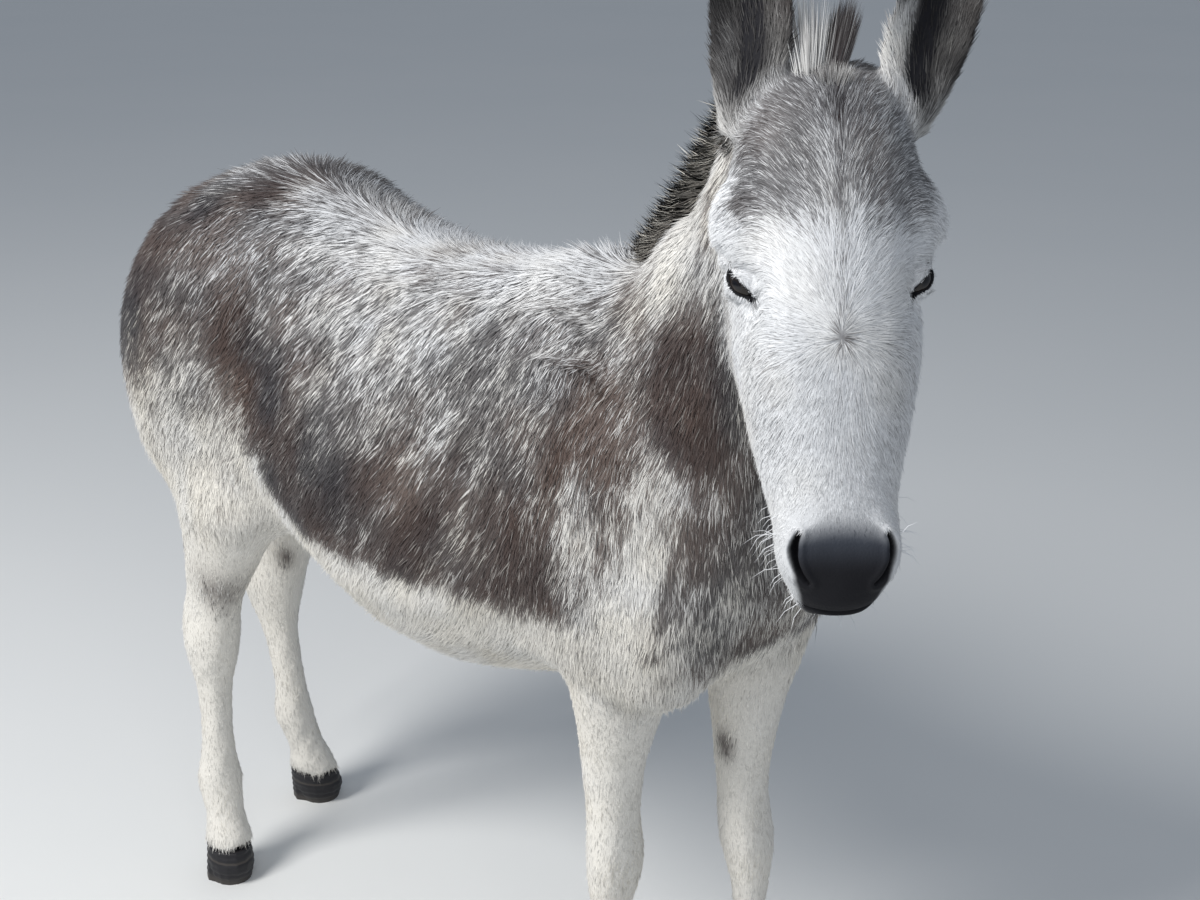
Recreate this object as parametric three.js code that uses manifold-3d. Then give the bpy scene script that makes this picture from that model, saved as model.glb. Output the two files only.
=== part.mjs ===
// A standing donkey at life size, with its head turned to its right, as separate closed solids.
// Millimetres, +Z up. The nose points to -Y and the left side is +X; the part's origin is on the ground,
// under the middle of its bounding box.
//
// The body is described by masses: each gives a signed distance to a rounded form (a run of oval sections,
// or an ellipsoid), and neighbouring masses melt into each other. Every flesh solid is a loft, whose rings
// are found by going out from a spine to the surface of those masses.
import * as THREE from "three";
import { mergeVertices } from "three/addons/utils/BufferGeometryUtils.js";
import Module from "manifold-3d";

const wasm = await Module();
wasm.setup();

// ---- Driving dimensions ---------------------------------------------------------------------------------
const GAP = 0.3; // left between neighbouring solids
const POLL = [-112, -622, 1278]; // top of the forehead, between the ears
const HEAD_TURN = 45.5; // degrees to the right of the trunk
const HEAD_SLOPE = 20; // degrees that the face leans from the vertical, nose forward
const HEAD_ROLL = 1.3; // degrees that the nose swings to the left
const NECK_BASE = [0, -380, 850];
const NECK_END = [-62, -569, 1172];
const NECK_TURN = 19;
const EYE = { at: [77, -47, 175], radius: 19.5 }; // in the head's frame, for the left
// The ears' roots in the head's frame, and how far each ear swings to the left and turns out.
const EAR = {
  at: { right: [-70, -58, 12], left: [79, -58, 12] },
  length: 268,
  pitch: 86,
  tilt: { right: -1, left: 16 },
  turn: { right: 28, left: 0 },
};
const HOOF_HEIGHT = 54;

// How far each toe points outwards, in degrees, and where the leg's line runs: height, x, y.
// The side is +1 on the left.
const STANCE = {
  foreleg_right: {
    side: -1,
    toeOut: 6,
    line: [[0, -84, -360], [150, -82, -357], [330, -80, -352], [540, -84, -354], [680, -96, -364]],
  },
  foreleg_left: {
    side: 1,
    toeOut: 4,
    line: [[0, 86, -446], [150, 84, -446], [270, 81, -441], [350, 79, -425], [540, 83, -419],
      [680, 98, -404]],
  },
  hindleg_right: {
    side: -1,
    toeOut: 14,
    line: [[0, -102, 402], [150, -104, 392], [400, -116, 364], [560, -116, 346], [780, -106, 335]],
  },
  hindleg_left: {
    side: 1,
    toeOut: 24,
    line: [[0, 138, 490], [150, 121, 473], [380, 106, 472], [560, 104, 438], [780, 104, 370]],
  },
};

// ---- Frames ---------------------------------------------------------------------------------------------
const radians = THREE.MathUtils.degToRad;
const vector = (xyz) => new THREE.Vector3(...xyz);

// A frame whose third axis points along a heading: turned right from -Y, then raised by a pitch. Its first
// axis points to the left and its second to the side that the back, crest and forehead are on.
function heading(origin, turn, pitch, roll = 0) {
  const t = radians(turn);
  const p = radians(pitch);
  const left = new THREE.Vector3(Math.cos(t), -Math.sin(t), 0);
  const along = new THREE.Vector3(-Math.sin(t) * Math.cos(p), -Math.cos(t) * Math.cos(p), Math.sin(p));
  const up = along.clone().cross(left);
  left.applyAxisAngle(up, radians(roll));
  along.applyAxisAngle(up, radians(roll));
  return new THREE.Matrix4().makeBasis(left, up, along).setPosition(vector(origin));
}

const TRUNK_FRAME = heading([0, 0, 0], 0, 0);
const NECK_LENGTH = vector(NECK_END).distanceTo(vector(NECK_BASE));
const NECK_PITCH = (180 / Math.PI) * Math.asin((NECK_END[2] - NECK_BASE[2]) / NECK_LENGTH);
const NECK_FRAME = heading(NECK_BASE, NECK_TURN, NECK_PITCH);
const NECK_INVERSE = NECK_FRAME.clone().invert();
// In the head's frame x points to its left, y out of the forehead and z down the face, from the poll.
const HEAD_FRAME = heading(POLL, HEAD_TURN, HEAD_SLOPE - 90, HEAD_ROLL);

// A leg's frame at the ground: x across it, y to the front and z up, with the toe turned out about the
// vertical.
function legFrame({ side, toeOut }) {
  const turn = radians(side * toeOut);
  const across = new THREE.Vector3(Math.cos(turn), Math.sin(turn), 0);
  const front = new THREE.Vector3(Math.sin(turn), -Math.cos(turn), 0);
  return new THREE.Matrix4().makeBasis(across, front, new THREE.Vector3(0, 0, 1));
}

// ---- Masses ---------------------------------------------------------------------------------------------
// Two distances as one, with the crease between them filled over a width.
function melt(a, b, width) {
  const h = Math.max(width - Math.abs(a - b), 0) / width;
  return Math.min(a, b) - (h * h * width) / 4;
}

// A row of a table at a place between its rows, on a smooth curve through them.
function between(rows, at) {
  const last = rows.length - 1;
  const t = THREE.MathUtils.clamp(at, rows[0][0], rows[last][0]);
  let i = 0;
  while (i < last - 1 && t > rows[i + 1][0]) i += 1;
  const [a, b] = [rows[i], rows[i + 1]];
  const before = rows[Math.max(i - 1, 0)];
  const after = rows[Math.min(i + 2, last)];
  const span = b[0] - a[0];
  const s = (t - a[0]) / span;
  return a.map((value, k) => {
    const into = (span * (b[k] - before[k])) / (b[0] - before[0]);
    const out = (span * (after[k] - value)) / (after[0] - a[0]);
    const rise = b[k] - value;
    return value + s * (into + s * (3 * rise - 2 * into - out + s * (into + out - 2 * rise)));
  });
}

// A run of oval sections along a frame's third axis. A row holds: place along the axis, low and high edge on
// the second axis, half width, how much wider the high edge is than the low one, and how square the oval is.
// A line, if there is one, says where in the part each section's own origin is: height, x, y.
function sections(frame, rows, line) {
  const inverse = frame.clone().invert();
  const table = rows.map(([at, low, high, half, flare = 0, square = 2]) => {
    return [at, low, high, half, flare, square];
  });
  const first = table[0][0];
  const last = table[table.length - 1][0];
  return (point) => {
    const p = point.clone();
    if (line) {
      const [, x, y] = between(line, p.z);
      p.sub(new THREE.Vector3(x, y, 0));
    }
    p.applyMatrix4(inverse);
    const [, low, high, half, flare, square] = between(table, p.z);
    const depth = (high - low) / 2;
    const y = (p.y - (high + low) / 2) / depth;
    const x = p.x / (half * (1 + flare * THREE.MathUtils.clamp(y, -1, 1)));
    const reach = (Math.abs(x) ** square + Math.abs(y) ** square) ** (1 / square);
    const outside = (reach - 1) * Math.min(half, depth);
    const beyond = Math.max(first - p.z, p.z - last, 0);
    return beyond > 0 ? Math.hypot(Math.max(outside, 0), beyond) : outside;
  };
}

// An ellipsoid in a frame, with its long axis tipped about the frame's first axis.
function ellipsoid(frame, centre, radii, tip = 0) {
  const place = frame.clone().multiply(new THREE.Matrix4().makeTranslation(...centre));
  const inverse = place.multiply(new THREE.Matrix4().makeRotationX(radians(tip))).invert();
  const r = vector(radii);
  return (point) => {
    const p = point.clone().applyMatrix4(inverse).divide(r);
    const reach = p.length();
    return (reach * (reach - 1)) / Math.max(p.divide(r).length(), 1e-6);
  };
}

const pair = (make) => [make(-1), make(1)];
const blend = (width, masses) => (p) => masses.reduce((d, mass) => melt(d, mass(p), width), 1e6);

// ---- Trunk and neck -------------------------------------------------------------------------------------
// Along the trunk, from the point of the buttock to the breast; the axis runs towards the head.
const BARREL = [
  // along, belly, back, half width, flare, squareness
  [-566, 790, 880, 40],
  [-545, 725, 945, 96],
  [-500, 680, 992, 138],
  [-420, 648, 1044, 166, 0, 2.1],
  [-300, 628, 1083, 184, -0.05, 2.2],
  [-190, 594, 1056, 200, -0.1, 2.2],
  [-100, 562, 1031, 214, -0.12, 2.2],
  [-20, 531, 1015, 226, -0.12, 2.2],
  [60, 508, 1018, 228, -0.12, 2.2],
  [160, 508, 1030, 214, -0.14, 2.2],
  [250, 528, 1052, 188, -0.16, 2.1],
  [330, 556, 1062, 166, -0.14, 2.1],
  [420, 580, 1024, 148, -0.08],
  [500, 622, 910, 120],
  [546, 684, 820, 74],
  [576, 728, 800, 30],
];
const TRUNK = blend(70, [
  sections(TRUNK_FRAME, BARREL),
  ...pair((side) => ellipsoid(TRUNK_FRAME, [side * 112, 820, 320], [58, 200, 105], 14)), // shoulder blade
  ...pair((side) => ellipsoid(TRUNK_FRAME, [side * 108, 655, 400], [58, 100, 92], 0)), // upper arm
  ...pair((side) => ellipsoid(TRUNK_FRAME, [side * 112, 880, -330], [80, 150, 150], 0)), // hip
  ...pair((side) => ellipsoid(TRUNK_FRAME, [side * 104, 745, -355], [76, 180, 185], -8)), // thigh
]);
const NECK = sections(NECK_FRAME, [
  [-120, -130, 190, 120],
  [0, -164, 168, 110],
  [100, -150, 140, 88],
  [200, -128, 124, 74],
  [300, -112, 112, 68],
  [400, -100, 92, 64],
  [500, -84, 78, 58],
]);

// ---- Head -----------------------------------------------------------------------------------------------
const skull = (rows) => sections(HEAD_FRAME, rows);
const lump = (centre, radii, tip) => ellipsoid(HEAD_FRAME, centre, radii, tip);
const HEAD_FORM = blend(20, [
  skull([
    // down the face, jaw, front, half width, flare, squareness
    [-34, -100, -42, 44, 0.1],
    [0, -150, -8, 72, 0.15],
    [50, -184, 10, 84, 0.18, 2.2],
    [100, -206, 17, 88, 0.2, 2.2],
    [150, -214, 18, 86, 0.24, 2.3],
    [200, -208, 15, 86, 0.18, 2.4],
    [250, -186, 9, 86, 0.1, 2.5],
    [310, -154, 0, 77, 0.02, 2.4],
    [360, -134, -6, 66, -0.02, 2.3],
    [410, -118, -8, 54, 0.02, 2.3],
    [450, -112, -14, 46, 0, 2.2],
    [478, -100, -30, 38],
    [492, -84, -52, 20],
  ]),
  ...pair((side) => lump([side * 86, -46, 124], [27, 32, 44], 0)), // orbit and brow
  ...pair((side) => lump([side * 64, -124, 178], [26, 72, 88], 20)), // cheek muscle
  ...pair((side) => lump([side * 37, -40, 425], [19, 30, 36], 0)), // nostril wing
  lump([0, -96, 452], [34, 24, 34], 0), // chin
]);
const SOCKETS = blend(1, pair((side) => lump([side * 98, -26, 178], [24, 24, 18], 0)));
const HEAD = (p) => -melt(-HEAD_FORM(p), SOCKETS(p), 8);

// ---- Lofts ----------------------------------------------------------------------------------------------
const RAY_STEPS = 60;
const LONGEST = 1.2; // of a solid's own reach, how far it goes out to meet its neighbour

// How far a ray goes from inside a mass to its surface.
function reachOf(mass, origin, direction) {
  const p = new THREE.Vector3();
  let t = 0;
  for (let i = 0; i < RAY_STEPS; i += 1) {
    const d = mass(p.copy(origin).addScaledVector(direction, t));
    t -= 0.8 * d;
    if (Math.abs(d) < 0.01) break;
  }
  return t;
}

// A closed solid with one ring in each frame. Place turns a ring's number and a direction in it into the
// offset from the frame's origin of the ring's point there.
function rings(frames, sides, offset) {
  const solid = closed(new THREE.CylinderGeometry(1, 1, 1, sides, frames.length - 1));
  const place = solid.attributes.position;
  const p = new THREE.Vector3();
  for (let i = 0; i < place.count; i += 1) {
    const ring = Math.round((place.getY(i) + 0.5) * (frames.length - 1));
    const [x, y] = [place.getX(i), place.getZ(i)];
    const [across, up] = Math.hypot(x, y) > 0.5 ? offset(ring, x, y) : [0, 0];
    p.set(across, up, 0).applyMatrix4(frames[ring]);
    place.setXYZ(i, p.x, p.y, p.z);
  }
  return outward(solid);
}

// Rings that reach from the frames' origins to the surface of a mass or, where a neighbour is given, to that
// of the two melted together.
function loft(mass, frames, sides, { skin = 0, neighbour, width = 60 } = {}) {
  const both = neighbour && ((p) => melt(mass(p), neighbour(p), width));
  return rings(frames, sides, (ring, x, y) => {
    const origin = new THREE.Vector3().setFromMatrixPosition(frames[ring]);
    const direction = new THREE.Vector3(x, y, 0).transformDirection(frames[ring]);
    const own = reachOf(mass, origin, direction);
    const reach = skin + (both ? Math.min(reachOf(both, origin, direction), own * LONGEST) : own);
    return [x * reach, y * reach];
  });
}

// A geometry with only its positions, each shared by the triangles around it.
function closed(geometry) {
  const bare = new THREE.BufferGeometry().setIndex(geometry.index);
  bare.setAttribute("position", geometry.attributes.position);
  return mergeVertices(bare, 1e-3);
}

// The same geometry with its faces turned to point out.
function outward(geometry) {
  const p = geometry.attributes.position;
  const index = geometry.index.array;
  const [a, b, c] = [0, 1, 2].map(() => new THREE.Vector3());
  let volume = 0;
  for (let i = 0; i < index.length; i += 3) {
    a.fromBufferAttribute(p, index[i]);
    b.fromBufferAttribute(p, index[i + 1]);
    c.fromBufferAttribute(p, index[i + 2]);
    volume += a.dot(b.cross(c));
  }
  if (volume < 0) {
    for (let i = 0; i < index.length; i += 3) [index[i], index[i + 1]] = [index[i + 1], index[i]];
  }
  return geometry;
}

// Frames spread along a spine of stations [x, y, z, turn, pitch, roll], `counts` of them between one station
// and the next.
function spine(stations, counts) {
  const rows = stations.map((station, i) => [i, ...station]);
  const frames = [];
  counts.forEach((count, i) => {
    for (let k = 0; k < count; k += 1) frames.push(between(rows, i + k / count));
  });
  frames.push(between(rows, stations.length - 1));
  return frames.map(([, x, y, z, turn, pitch, roll]) => heading([x, y, z], turn, pitch, roll));
}

// ---- Solids with manifold-3d ----------------------------------------------------------------------------
function solidOf(geometry) {
  const g = closed(geometry);
  const vertProperties = g.attributes.position.array;
  const triVerts = new Uint32Array(g.index.array);
  return new wasm.Manifold(new wasm.Mesh({ numProp: 3, vertProperties, triVerts }));
}

function geometryOf(solid) {
  const mesh = solid.getMesh();
  const geometry = new THREE.BufferGeometry();
  geometry.setAttribute("position", new THREE.BufferAttribute(mesh.vertProperties, 3));
  return geometry.setIndex(new THREE.BufferAttribute(mesh.triVerts, 1));
}

const largest = (solid) => solid.decompose().sort((a, b) => b.volume() - a.volume())[0];

// The largest piece of a geometry once others are taken from it, without the slivers that joining its
// vertices frees.
function cut(geometry, ...tools) {
  const left = tools.reduce((solid, tool) => solid.subtract(solidOf(tool)), solidOf(geometry));
  return geometryOf(largest(solidOf(geometryOf(largest(left)))));
}

// ---- Trunk, neck and head -------------------------------------------------------------------------------
const headPoint = (xyz) => vector(xyz).applyMatrix4(HEAD_FRAME).toArray();
const headStation = (y, z, pitch = 0) => {
  return [...headPoint([0, y, z]), HEAD_TURN, pitch + HEAD_SLOPE - 90, HEAD_ROLL];
};

const trunkFrames = spine(
  [
    [0, 562, 845, 0, 0, 0],
    [0, 500, 845, 0, 0, 0],
    [0, 250, 820, 0, 0, 0],
    [0, 0, 780, 0, 0, 0],
    [0, -300, 790, 0, 0, 0],
    [0, -460, 760, 0, 0, 0],
    [0, -573, 762, 0, 0, 0],
  ],
  [2, 6, 6, 7, 5, 4],
);
const neckEdge = (p) => p.clone().applyMatrix4(NECK_INVERSE).z - 100;
const trunkMass = (p) => Math.max(melt(TRUNK(p), NECK(p), 90), neckEdge(p));
const trunk = (skin) => loft(trunkMass, trunkFrames, 26, { skin });

const headFrames = spine(
  [headStation(-70, -28, 20), headStation(-78, 60, 12), headStation(-84, 140), headStation(-80, 220),
    headStation(-68, 320), headStation(-62, 420), headStation(-64, 488, -6)],
  [4, 5, 5, 5, 6, 5],
);
const headWhole = (skin) => loft(HEAD, headFrames, 28, { skin });

const neckFrames = spine(
  [[...NECK_BASE, NECK_TURN, NECK_PITCH, 0], [...NECK_END, NECK_TURN, NECK_PITCH, 0],
    [...headPoint([0, -96, 90]), NECK_TURN + 12, NECK_PITCH - 6, 0]],
  [10, 2],
);
const neckNeighbour = (p) => Math.min(TRUNK(p), HEAD(p));
const neckSkin = (skin) => loft(NECK, neckFrames, 22, { skin, neighbour: neckNeighbour, width: 80 });

// ---- Legs and hooves ------------------------------------------------------------------------------------
// height, back, front, half width, flare, squareness
const FORELEG = [
  [40, -48, 38, 37],
  [62, -44, 40, 37],
  [92, -36, 24, 30],
  [118, -38, 14, 30],
  [150, -46, 16, 35],
  [190, -38, 8, 28],
  [240, -38, 8, 27],
  [282, -42, 18, 33],
  [320, -46, 28, 39, 0.1, 2.3],
  [356, -44, 26, 40, 0.1, 2.3],
  [400, -46, 24, 38],
  [460, -54, 32, 43],
  [530, -54, 44, 50],
  [600, -62, 60, 57],
  [680, -80, 74, 60],
];
const HINDLEG = [
  [40, -48, 38, 35],
  [62, -44, 38, 36],
  [92, -42, 20, 30],
  [120, -50, 8, 31],
  [155, -64, 0, 36],
  [195, -60, -4, 28],
  [260, -64, -6, 27],
  [320, -76, -4, 31],
  [362, -92, 6, 40],
  [400, -102, 14, 44],
  [436, -106, 22, 40],
  [475, -96, 36, 40],
  [530, -86, 60, 48],
  [590, -86, 98, 54],
  [650, -94, 146, 58],
  [780, -96, 170, 56],
];
const HOOF = [
  [0, -40, 52, 36],
  [HOOF_HEIGHT, -42, 34, 31],
];

// Level frames up a leg, each at the middle of its section.
function legFrames(stance, rows, heights) {
  const turned = legFrame(stance);
  return heights.map((height) => {
    const [, back, front] = between(rows, height);
    const [, x, y] = between(stance.line, height);
    const middle = new THREE.Vector3(0, (back + front) / 2, 0).applyMatrix4(turned);
    return heading([x + middle.x, y + middle.y, height], 0, 90);
  });
}

const stretch = (from, to, count) => {
  return Array.from({ length: count }, (_, i) => from + ((to - from) * i) / count);
};

function leg(stance, rows, top) {
  const lower = [...stretch(HOOF_HEIGHT, 180, 5), ...stretch(180, 350, 6)];
  const heights = [...lower, ...stretch(350, 470, 4), ...stretch(470, top, 4), top];
  const mass = sections(legFrame(stance), rows, stance.line);
  return cut(loft(mass, legFrames(stance, rows, heights), 14, { neighbour: TRUNK }), trunk(GAP));
}

function hoof(stance) {
  const frames = legFrames(stance, HOOF, [0, HOOF_HEIGHT / 2, HOOF_HEIGHT - GAP]);
  return loft(sections(legFrame(stance), HOOF, stance.line), frames, 16);
}

// ---- Ears and eyes --------------------------------------------------------------------------------------
// from the root, half width, back, front of the hollow, and how far the ear has curved inwards
const EAR_ROWS = [
  [-24, 25, 26, -26, 0],
  [20, 35, 32, -24, 0],
  [55, 40, 33, -4, 0],
  [95, 42, 31, 12, 0],
  [140, 40, 27, 15, 0],
  [185, 35, 22, 13, 2],
  [225, 24, 15, 8, 6],
  [255, 11, 8, 3, 11],
  [EAR.length, 2, 2, 0, 15],
];

function ear(side) {
  const name = side < 0 ? "right" : "left";
  const root = heading(headPoint(EAR.at[name]), HEAD_TURN + EAR.turn[name], EAR.pitch, EAR.tilt[name]);
  const heights = [-24, 10, 40, 70, 105, 140, 175, 205, 232, 255, EAR.length];
  const rows = heights.map((height) => between(EAR_ROWS, height));
  const frames = rows.map(([at, , , , curve]) => {
    return root.clone().multiply(new THREE.Matrix4().makeTranslation(-side * curve, 0, at));
  });
  const shell = rings(frames, 14, (ring, across, up) => {
    const [, half, back, front] = rows[ring];
    return [half * across, up > 0 ? back * up : -front * up];
  });
  return cut(shell, headWhole(GAP));
}

const eyeball = (side, radius) => {
  const ball = new THREE.SphereGeometry(radius, 14, 10);
  const [x, y, z] = headPoint([side * EYE.at[0], EYE.at[1], EYE.at[2]]);
  return ball.translate(x, y, z);
};

// ---- Mane, forelock and tail ----------------------------------------------------------------------------
// along the neck, foot and tips on the crest's side, half thickness
const MANE = [
  [-150, 120, 214, 8],
  [-60, 110, 222, 16],
  [40, 90, 204, 20],
  [150, 70, 176, 20],
  [260, 60, 158, 19],
  [350, 40, 146, 17],
  [410, 20, 128, 10],
];
const maneFrames = stretch(-150, 410, 12).concat(410).map((at) => {
  const [, foot, tips] = between(MANE, at);
  return NECK_FRAME.clone().multiply(new THREE.Matrix4().makeTranslation(0, (foot + tips) / 2, at));
});
const mane = () => {
  const crest = loft(sections(NECK_FRAME, MANE), maneFrames, 8);
  return cut(crest, trunk(GAP), neckSkin(GAP), headWhole(GAP));
};

// A run of ovals: place x, y, z, the pitch of its line, half width, half depth.
function strand(stations, count, turn) {
  const rows = stretch(0, stations.length - 1, count).concat(stations.length - 1);
  const table = stations.map((station, i) => [i, ...station]);
  const at = rows.map((t) => between(table, t));
  const run = at.map(([, x, y, z, pitch]) => heading([x, y, z], turn, pitch));
  return rings(run, 8, (ring, across, up) => [at[ring][5] * across, at[ring][6] * up]);
}

const forelock = () =>
  cut(
    strand(
      [
        [...headPoint([0, -40, -10]), 88, 26, 16],
        [...headPoint([0, -34, -50]), 88, 25, 12],
        [...headPoint([2, -34, -72]), 88, 20, 8],
        [...headPoint([4, -36, -92]), 88, 9, 3],
      ],
      6,
      HEAD_TURN,
    ),
    headWhole(GAP),
  );

const TAIL = [
  [0, 470, 990, 190, 26, 24],
  [0, 552, 958, 225, 31, 28],
  [0, 596, 860, 262, 27, 25],
  [0, 600, 720, 270, 24, 22],
  [0, 596, 590, 272, 34, 28],
  [0, 592, 470, 272, 34, 28],
  [0, 590, 372, 270, 8, 8],
];

// ---- The parts ------------------------------------------------------------------------------------------
const group = new THREE.Group();
const hair = (colour) => new THREE.MeshStandardMaterial({ color: colour, roughness: 0.9, metalness: 0 });
const GREY = hair(0x9a938e);
const WHITE = hair(0xd9d5cc);
const DARK = hair(0x55504c);
const HORN = new THREE.MeshStandardMaterial({ color: 0x2b2826, roughness: 0.55, metalness: 0 });
const EYE_DARK = new THREE.MeshStandardMaterial({ color: 0x120e0c, roughness: 0.08, metalness: 0 });

function add(name, geometry, material) {
  const mesh = new THREE.Mesh(geometry, material);
  mesh.name = name;
  group.add(mesh);
}

add("trunk", trunk(0), GREY);
add("neck", cut(neckSkin(0), trunk(GAP), headWhole(GAP)), GREY);
add("head", cut(headWhole(0), eyeball(-1, EYE.radius + GAP), eyeball(1, EYE.radius + GAP)), WHITE);
for (const [name, stance] of Object.entries(STANCE)) {
  const fore = name.startsWith("fore");
  add(name, leg(stance, fore ? FORELEG : HINDLEG, fore ? 680 : 780), WHITE);
  add(name.replace("leg", "hoof"), hoof(stance), HORN);
}
for (const [name, side] of [["right", -1], ["left", 1]]) {
  add(`ear_${name}`, ear(side), DARK);
  add(`eye_${name}`, eyeball(side, EYE.radius), EYE_DARK);
}
add("mane", mane(), DARK);
add("forelock", forelock(), DARK);
add("tail_dock", cut(strand(TAIL.slice(0, 4), 8, 0), trunk(GAP)), GREY);
const [[x, y, z, ...ovalAtTop], ...switchRows] = TAIL.slice(3);
add("tail_switch", strand([[x, y, z - GAP, ...ovalAtTop], ...switchRows], 6, 0), DARK);

const box = new THREE.Box3().setFromObject(group);
const middle = box.getCenter(new THREE.Vector3());
for (const mesh of group.children) mesh.geometry.translate(-middle.x, -middle.y, -box.min.z);

export default group;
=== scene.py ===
from itertools import product

import bpy
import numpy as np
from mathutils import Matrix, Vector
from mathutils.bvhtree import BVHTree


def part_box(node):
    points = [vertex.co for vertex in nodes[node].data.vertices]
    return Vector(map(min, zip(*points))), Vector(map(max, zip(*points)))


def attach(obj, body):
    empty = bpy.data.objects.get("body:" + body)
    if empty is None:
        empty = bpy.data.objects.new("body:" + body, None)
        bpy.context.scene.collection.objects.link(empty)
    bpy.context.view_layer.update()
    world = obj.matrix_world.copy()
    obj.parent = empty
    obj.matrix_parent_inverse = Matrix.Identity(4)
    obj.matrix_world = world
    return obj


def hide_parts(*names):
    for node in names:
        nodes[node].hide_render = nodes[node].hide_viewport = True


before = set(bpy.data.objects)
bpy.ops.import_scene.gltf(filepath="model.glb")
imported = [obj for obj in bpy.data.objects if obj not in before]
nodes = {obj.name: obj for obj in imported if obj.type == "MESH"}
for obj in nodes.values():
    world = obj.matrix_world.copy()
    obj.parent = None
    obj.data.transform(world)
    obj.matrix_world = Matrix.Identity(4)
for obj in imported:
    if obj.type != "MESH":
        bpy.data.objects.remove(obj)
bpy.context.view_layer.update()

# ---- Studio: floor, lights and camera -----------------------------------------------------------------
# A wide pale matt floor runs out of sight behind the animal. One big soft lamp hangs over its back on the
# right, a weaker one fills its face, and a pale room lights the rest, as under an even grey sky.
FLOOR_REACH = 60.0


class Wire:
    """A socket that can be used in sums: each operator adds the Math node that works it out."""

    def __init__(self, finish, socket):
        self.finish, self.socket = finish, socket

    def maths(self, operation, *values):
        return self.finish.node("ShaderNodeMath", {"operation": operation}, dict(enumerate(values)))

    def __add__(self, other):
        return self.maths("ADD", self, other)

    def __mul__(self, other):
        return self.maths("MULTIPLY", self, other)


    __radd__, __rmul__ = __add__, __mul__

    def above(self, low, high):
        """0 under low, 1 over high, and a smooth step between them."""
        steps = {0: self, 1: low, 2: high}
        return self.finish.node("ShaderNodeMapRange", {"interpolation_type": "SMOOTHSTEP"}, steps)


class Finish:
    """A material with one Principled shader, whose constants are set on its own sockets."""

    def __init__(self, name, **constants):
        self.material = bpy.data.materials.new(name)
        self.material.use_nodes = True
        self.tree = self.material.node_tree
        self.shader = self.tree.nodes["Principled BSDF"]
        for key, value in constants.items():
            self.shader.inputs[key.replace("_", " ")].default_value = value

    def node(self, kind, settings=None, sockets=None, output=0):
        made = self.tree.nodes.new(kind)
        for key, value in (settings or {}).items():
            setattr(made, key, value)
        for key, value in (sockets or {}).items():
            if isinstance(value, Wire):
                self.tree.links.new(value.socket, made.inputs[key])
            else:
                made.inputs[key].default_value = value
        return Wire(self, made.outputs[output])

    def mix(self, factor, a, b):
        return self.node("ShaderNodeMix", {"data_type": "RGBA"}, {0: factor, 6: a, 7: b}, 2)

    def feed(self, socket, wire):
        self.tree.links.new(wire.socket, self.shader.inputs[socket])
        return self


def room_finish():
    matt = Finish("studio_floor", Roughness=0.9)
    place = matt.node("ShaderNodeTexCoord", output=3)
    cloud = matt.node("ShaderNodeTexNoise", None, {"Vector": place, "Scale": 0.8, "Detail": 3.0})
    return matt.feed("Base Color", matt.mix(cloud, (0.76, 0.77, 0.765, 1), (0.80, 0.80, 0.79, 1))).material


floor_corners = [(x * FLOOR_REACH, y * FLOOR_REACH, 0) for x, y in ((-1, -1), (1, -1), (1, 1), (-1, 1))]
floor_mesh = bpy.data.meshes.new("studio_floor")
floor_mesh.from_pydata(floor_corners, [], [(0, 1, 2, 3)])
floor = bpy.data.objects.new("studio_floor", floor_mesh)
floor_mesh.materials.append(room_finish())
bpy.context.collection.objects.link(floor)


def softbox(name, at, target, size, power, tint):
    light = bpy.data.lights.new(name, "AREA")
    light.shape, light.size, light.energy, light.color = "DISK", size, power, tint
    lamp = bpy.data.objects.new(name, light)
    lamp.location = at
    lamp.rotation_euler = (Vector(target) - Vector(at)).to_track_quat("-Z", "Y").to_euler()
    bpy.context.collection.objects.link(lamp)


softbox("key_light", (-3.2, 0.7, 3.5), (0, 0, 0.8), 1.8, 188, (1.0, 0.985, 0.96))
softbox("face_light", (-2.4, -2.6, 2.8), (-0.1, -0.5, 1.0), 2.2, 27, (0.97, 0.985, 1.0))
world = bpy.data.worlds.new("studio")
world.use_nodes = True
world.node_tree.nodes["Background"].inputs["Color"].default_value = (0.78, 0.87, 1.0, 1)
world.node_tree.nodes["Background"].inputs["Strength"].default_value = 0.35
bpy.context.scene.world = world
bpy.context.scene.view_settings.view_transform = "Standard"

CAMERA_AT = (-1.48676, -1.50900, 1.49669)
CAMERA_TURN, CAMERA_DIP, CAMERA_ROLL = np.radians((-48.163, 19.121, 0.694))
camera_data = bpy.data.cameras.new("camera")
camera_data.lens, camera_data.sensor_width = 54.0, 36.0
camera = bpy.data.objects.new("camera", camera_data)
ca, sa, ce, se = np.cos(CAMERA_TURN), np.sin(CAMERA_TURN), np.cos(CAMERA_DIP), np.sin(CAMERA_DIP)
back, level = Vector((sa * ce, -ca * ce, se)), Vector((ca, sa, 0))
upright = back.cross(level)
right = level * np.cos(CAMERA_ROLL) + upright * np.sin(CAMERA_ROLL)
sight = Matrix((right, back.cross(right), back)).transposed().to_4x4()
camera.matrix_world = Matrix.Translation(CAMERA_AT) @ sight
bpy.context.collection.objects.link(camera)
bpy.context.scene.camera = camera

# ---- Skin ---------------------------------------------------------------------------------------------
# One closed hide from the muzzle to the tail, drawn in under the tips of the coat by the depth of the hair.
# It is grown from the flesh solids, melted together, with the lids, nostrils and lips shaped into it.
FLESH = ["trunk", "neck", "head", "tail_dock", "ear_right", "ear_left"]
FLESH += [f"{end}leg_{side}" for end in ("fore", "hind") for side in ("right", "left")]
EYE_RADIUS = 0.0195
HEAD_TURN, HEAD_PITCH, HEAD_ROLL = np.radians((45.5, -70.0, 1.3))
EYE_PLACE = np.array((0.077, -0.047, 0.175))  # from the poll: to the left, out of the brow, down the face


def unit(v):
    return v / np.maximum(np.linalg.norm(v, axis=-1, keepdims=True), 1e-9)


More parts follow.
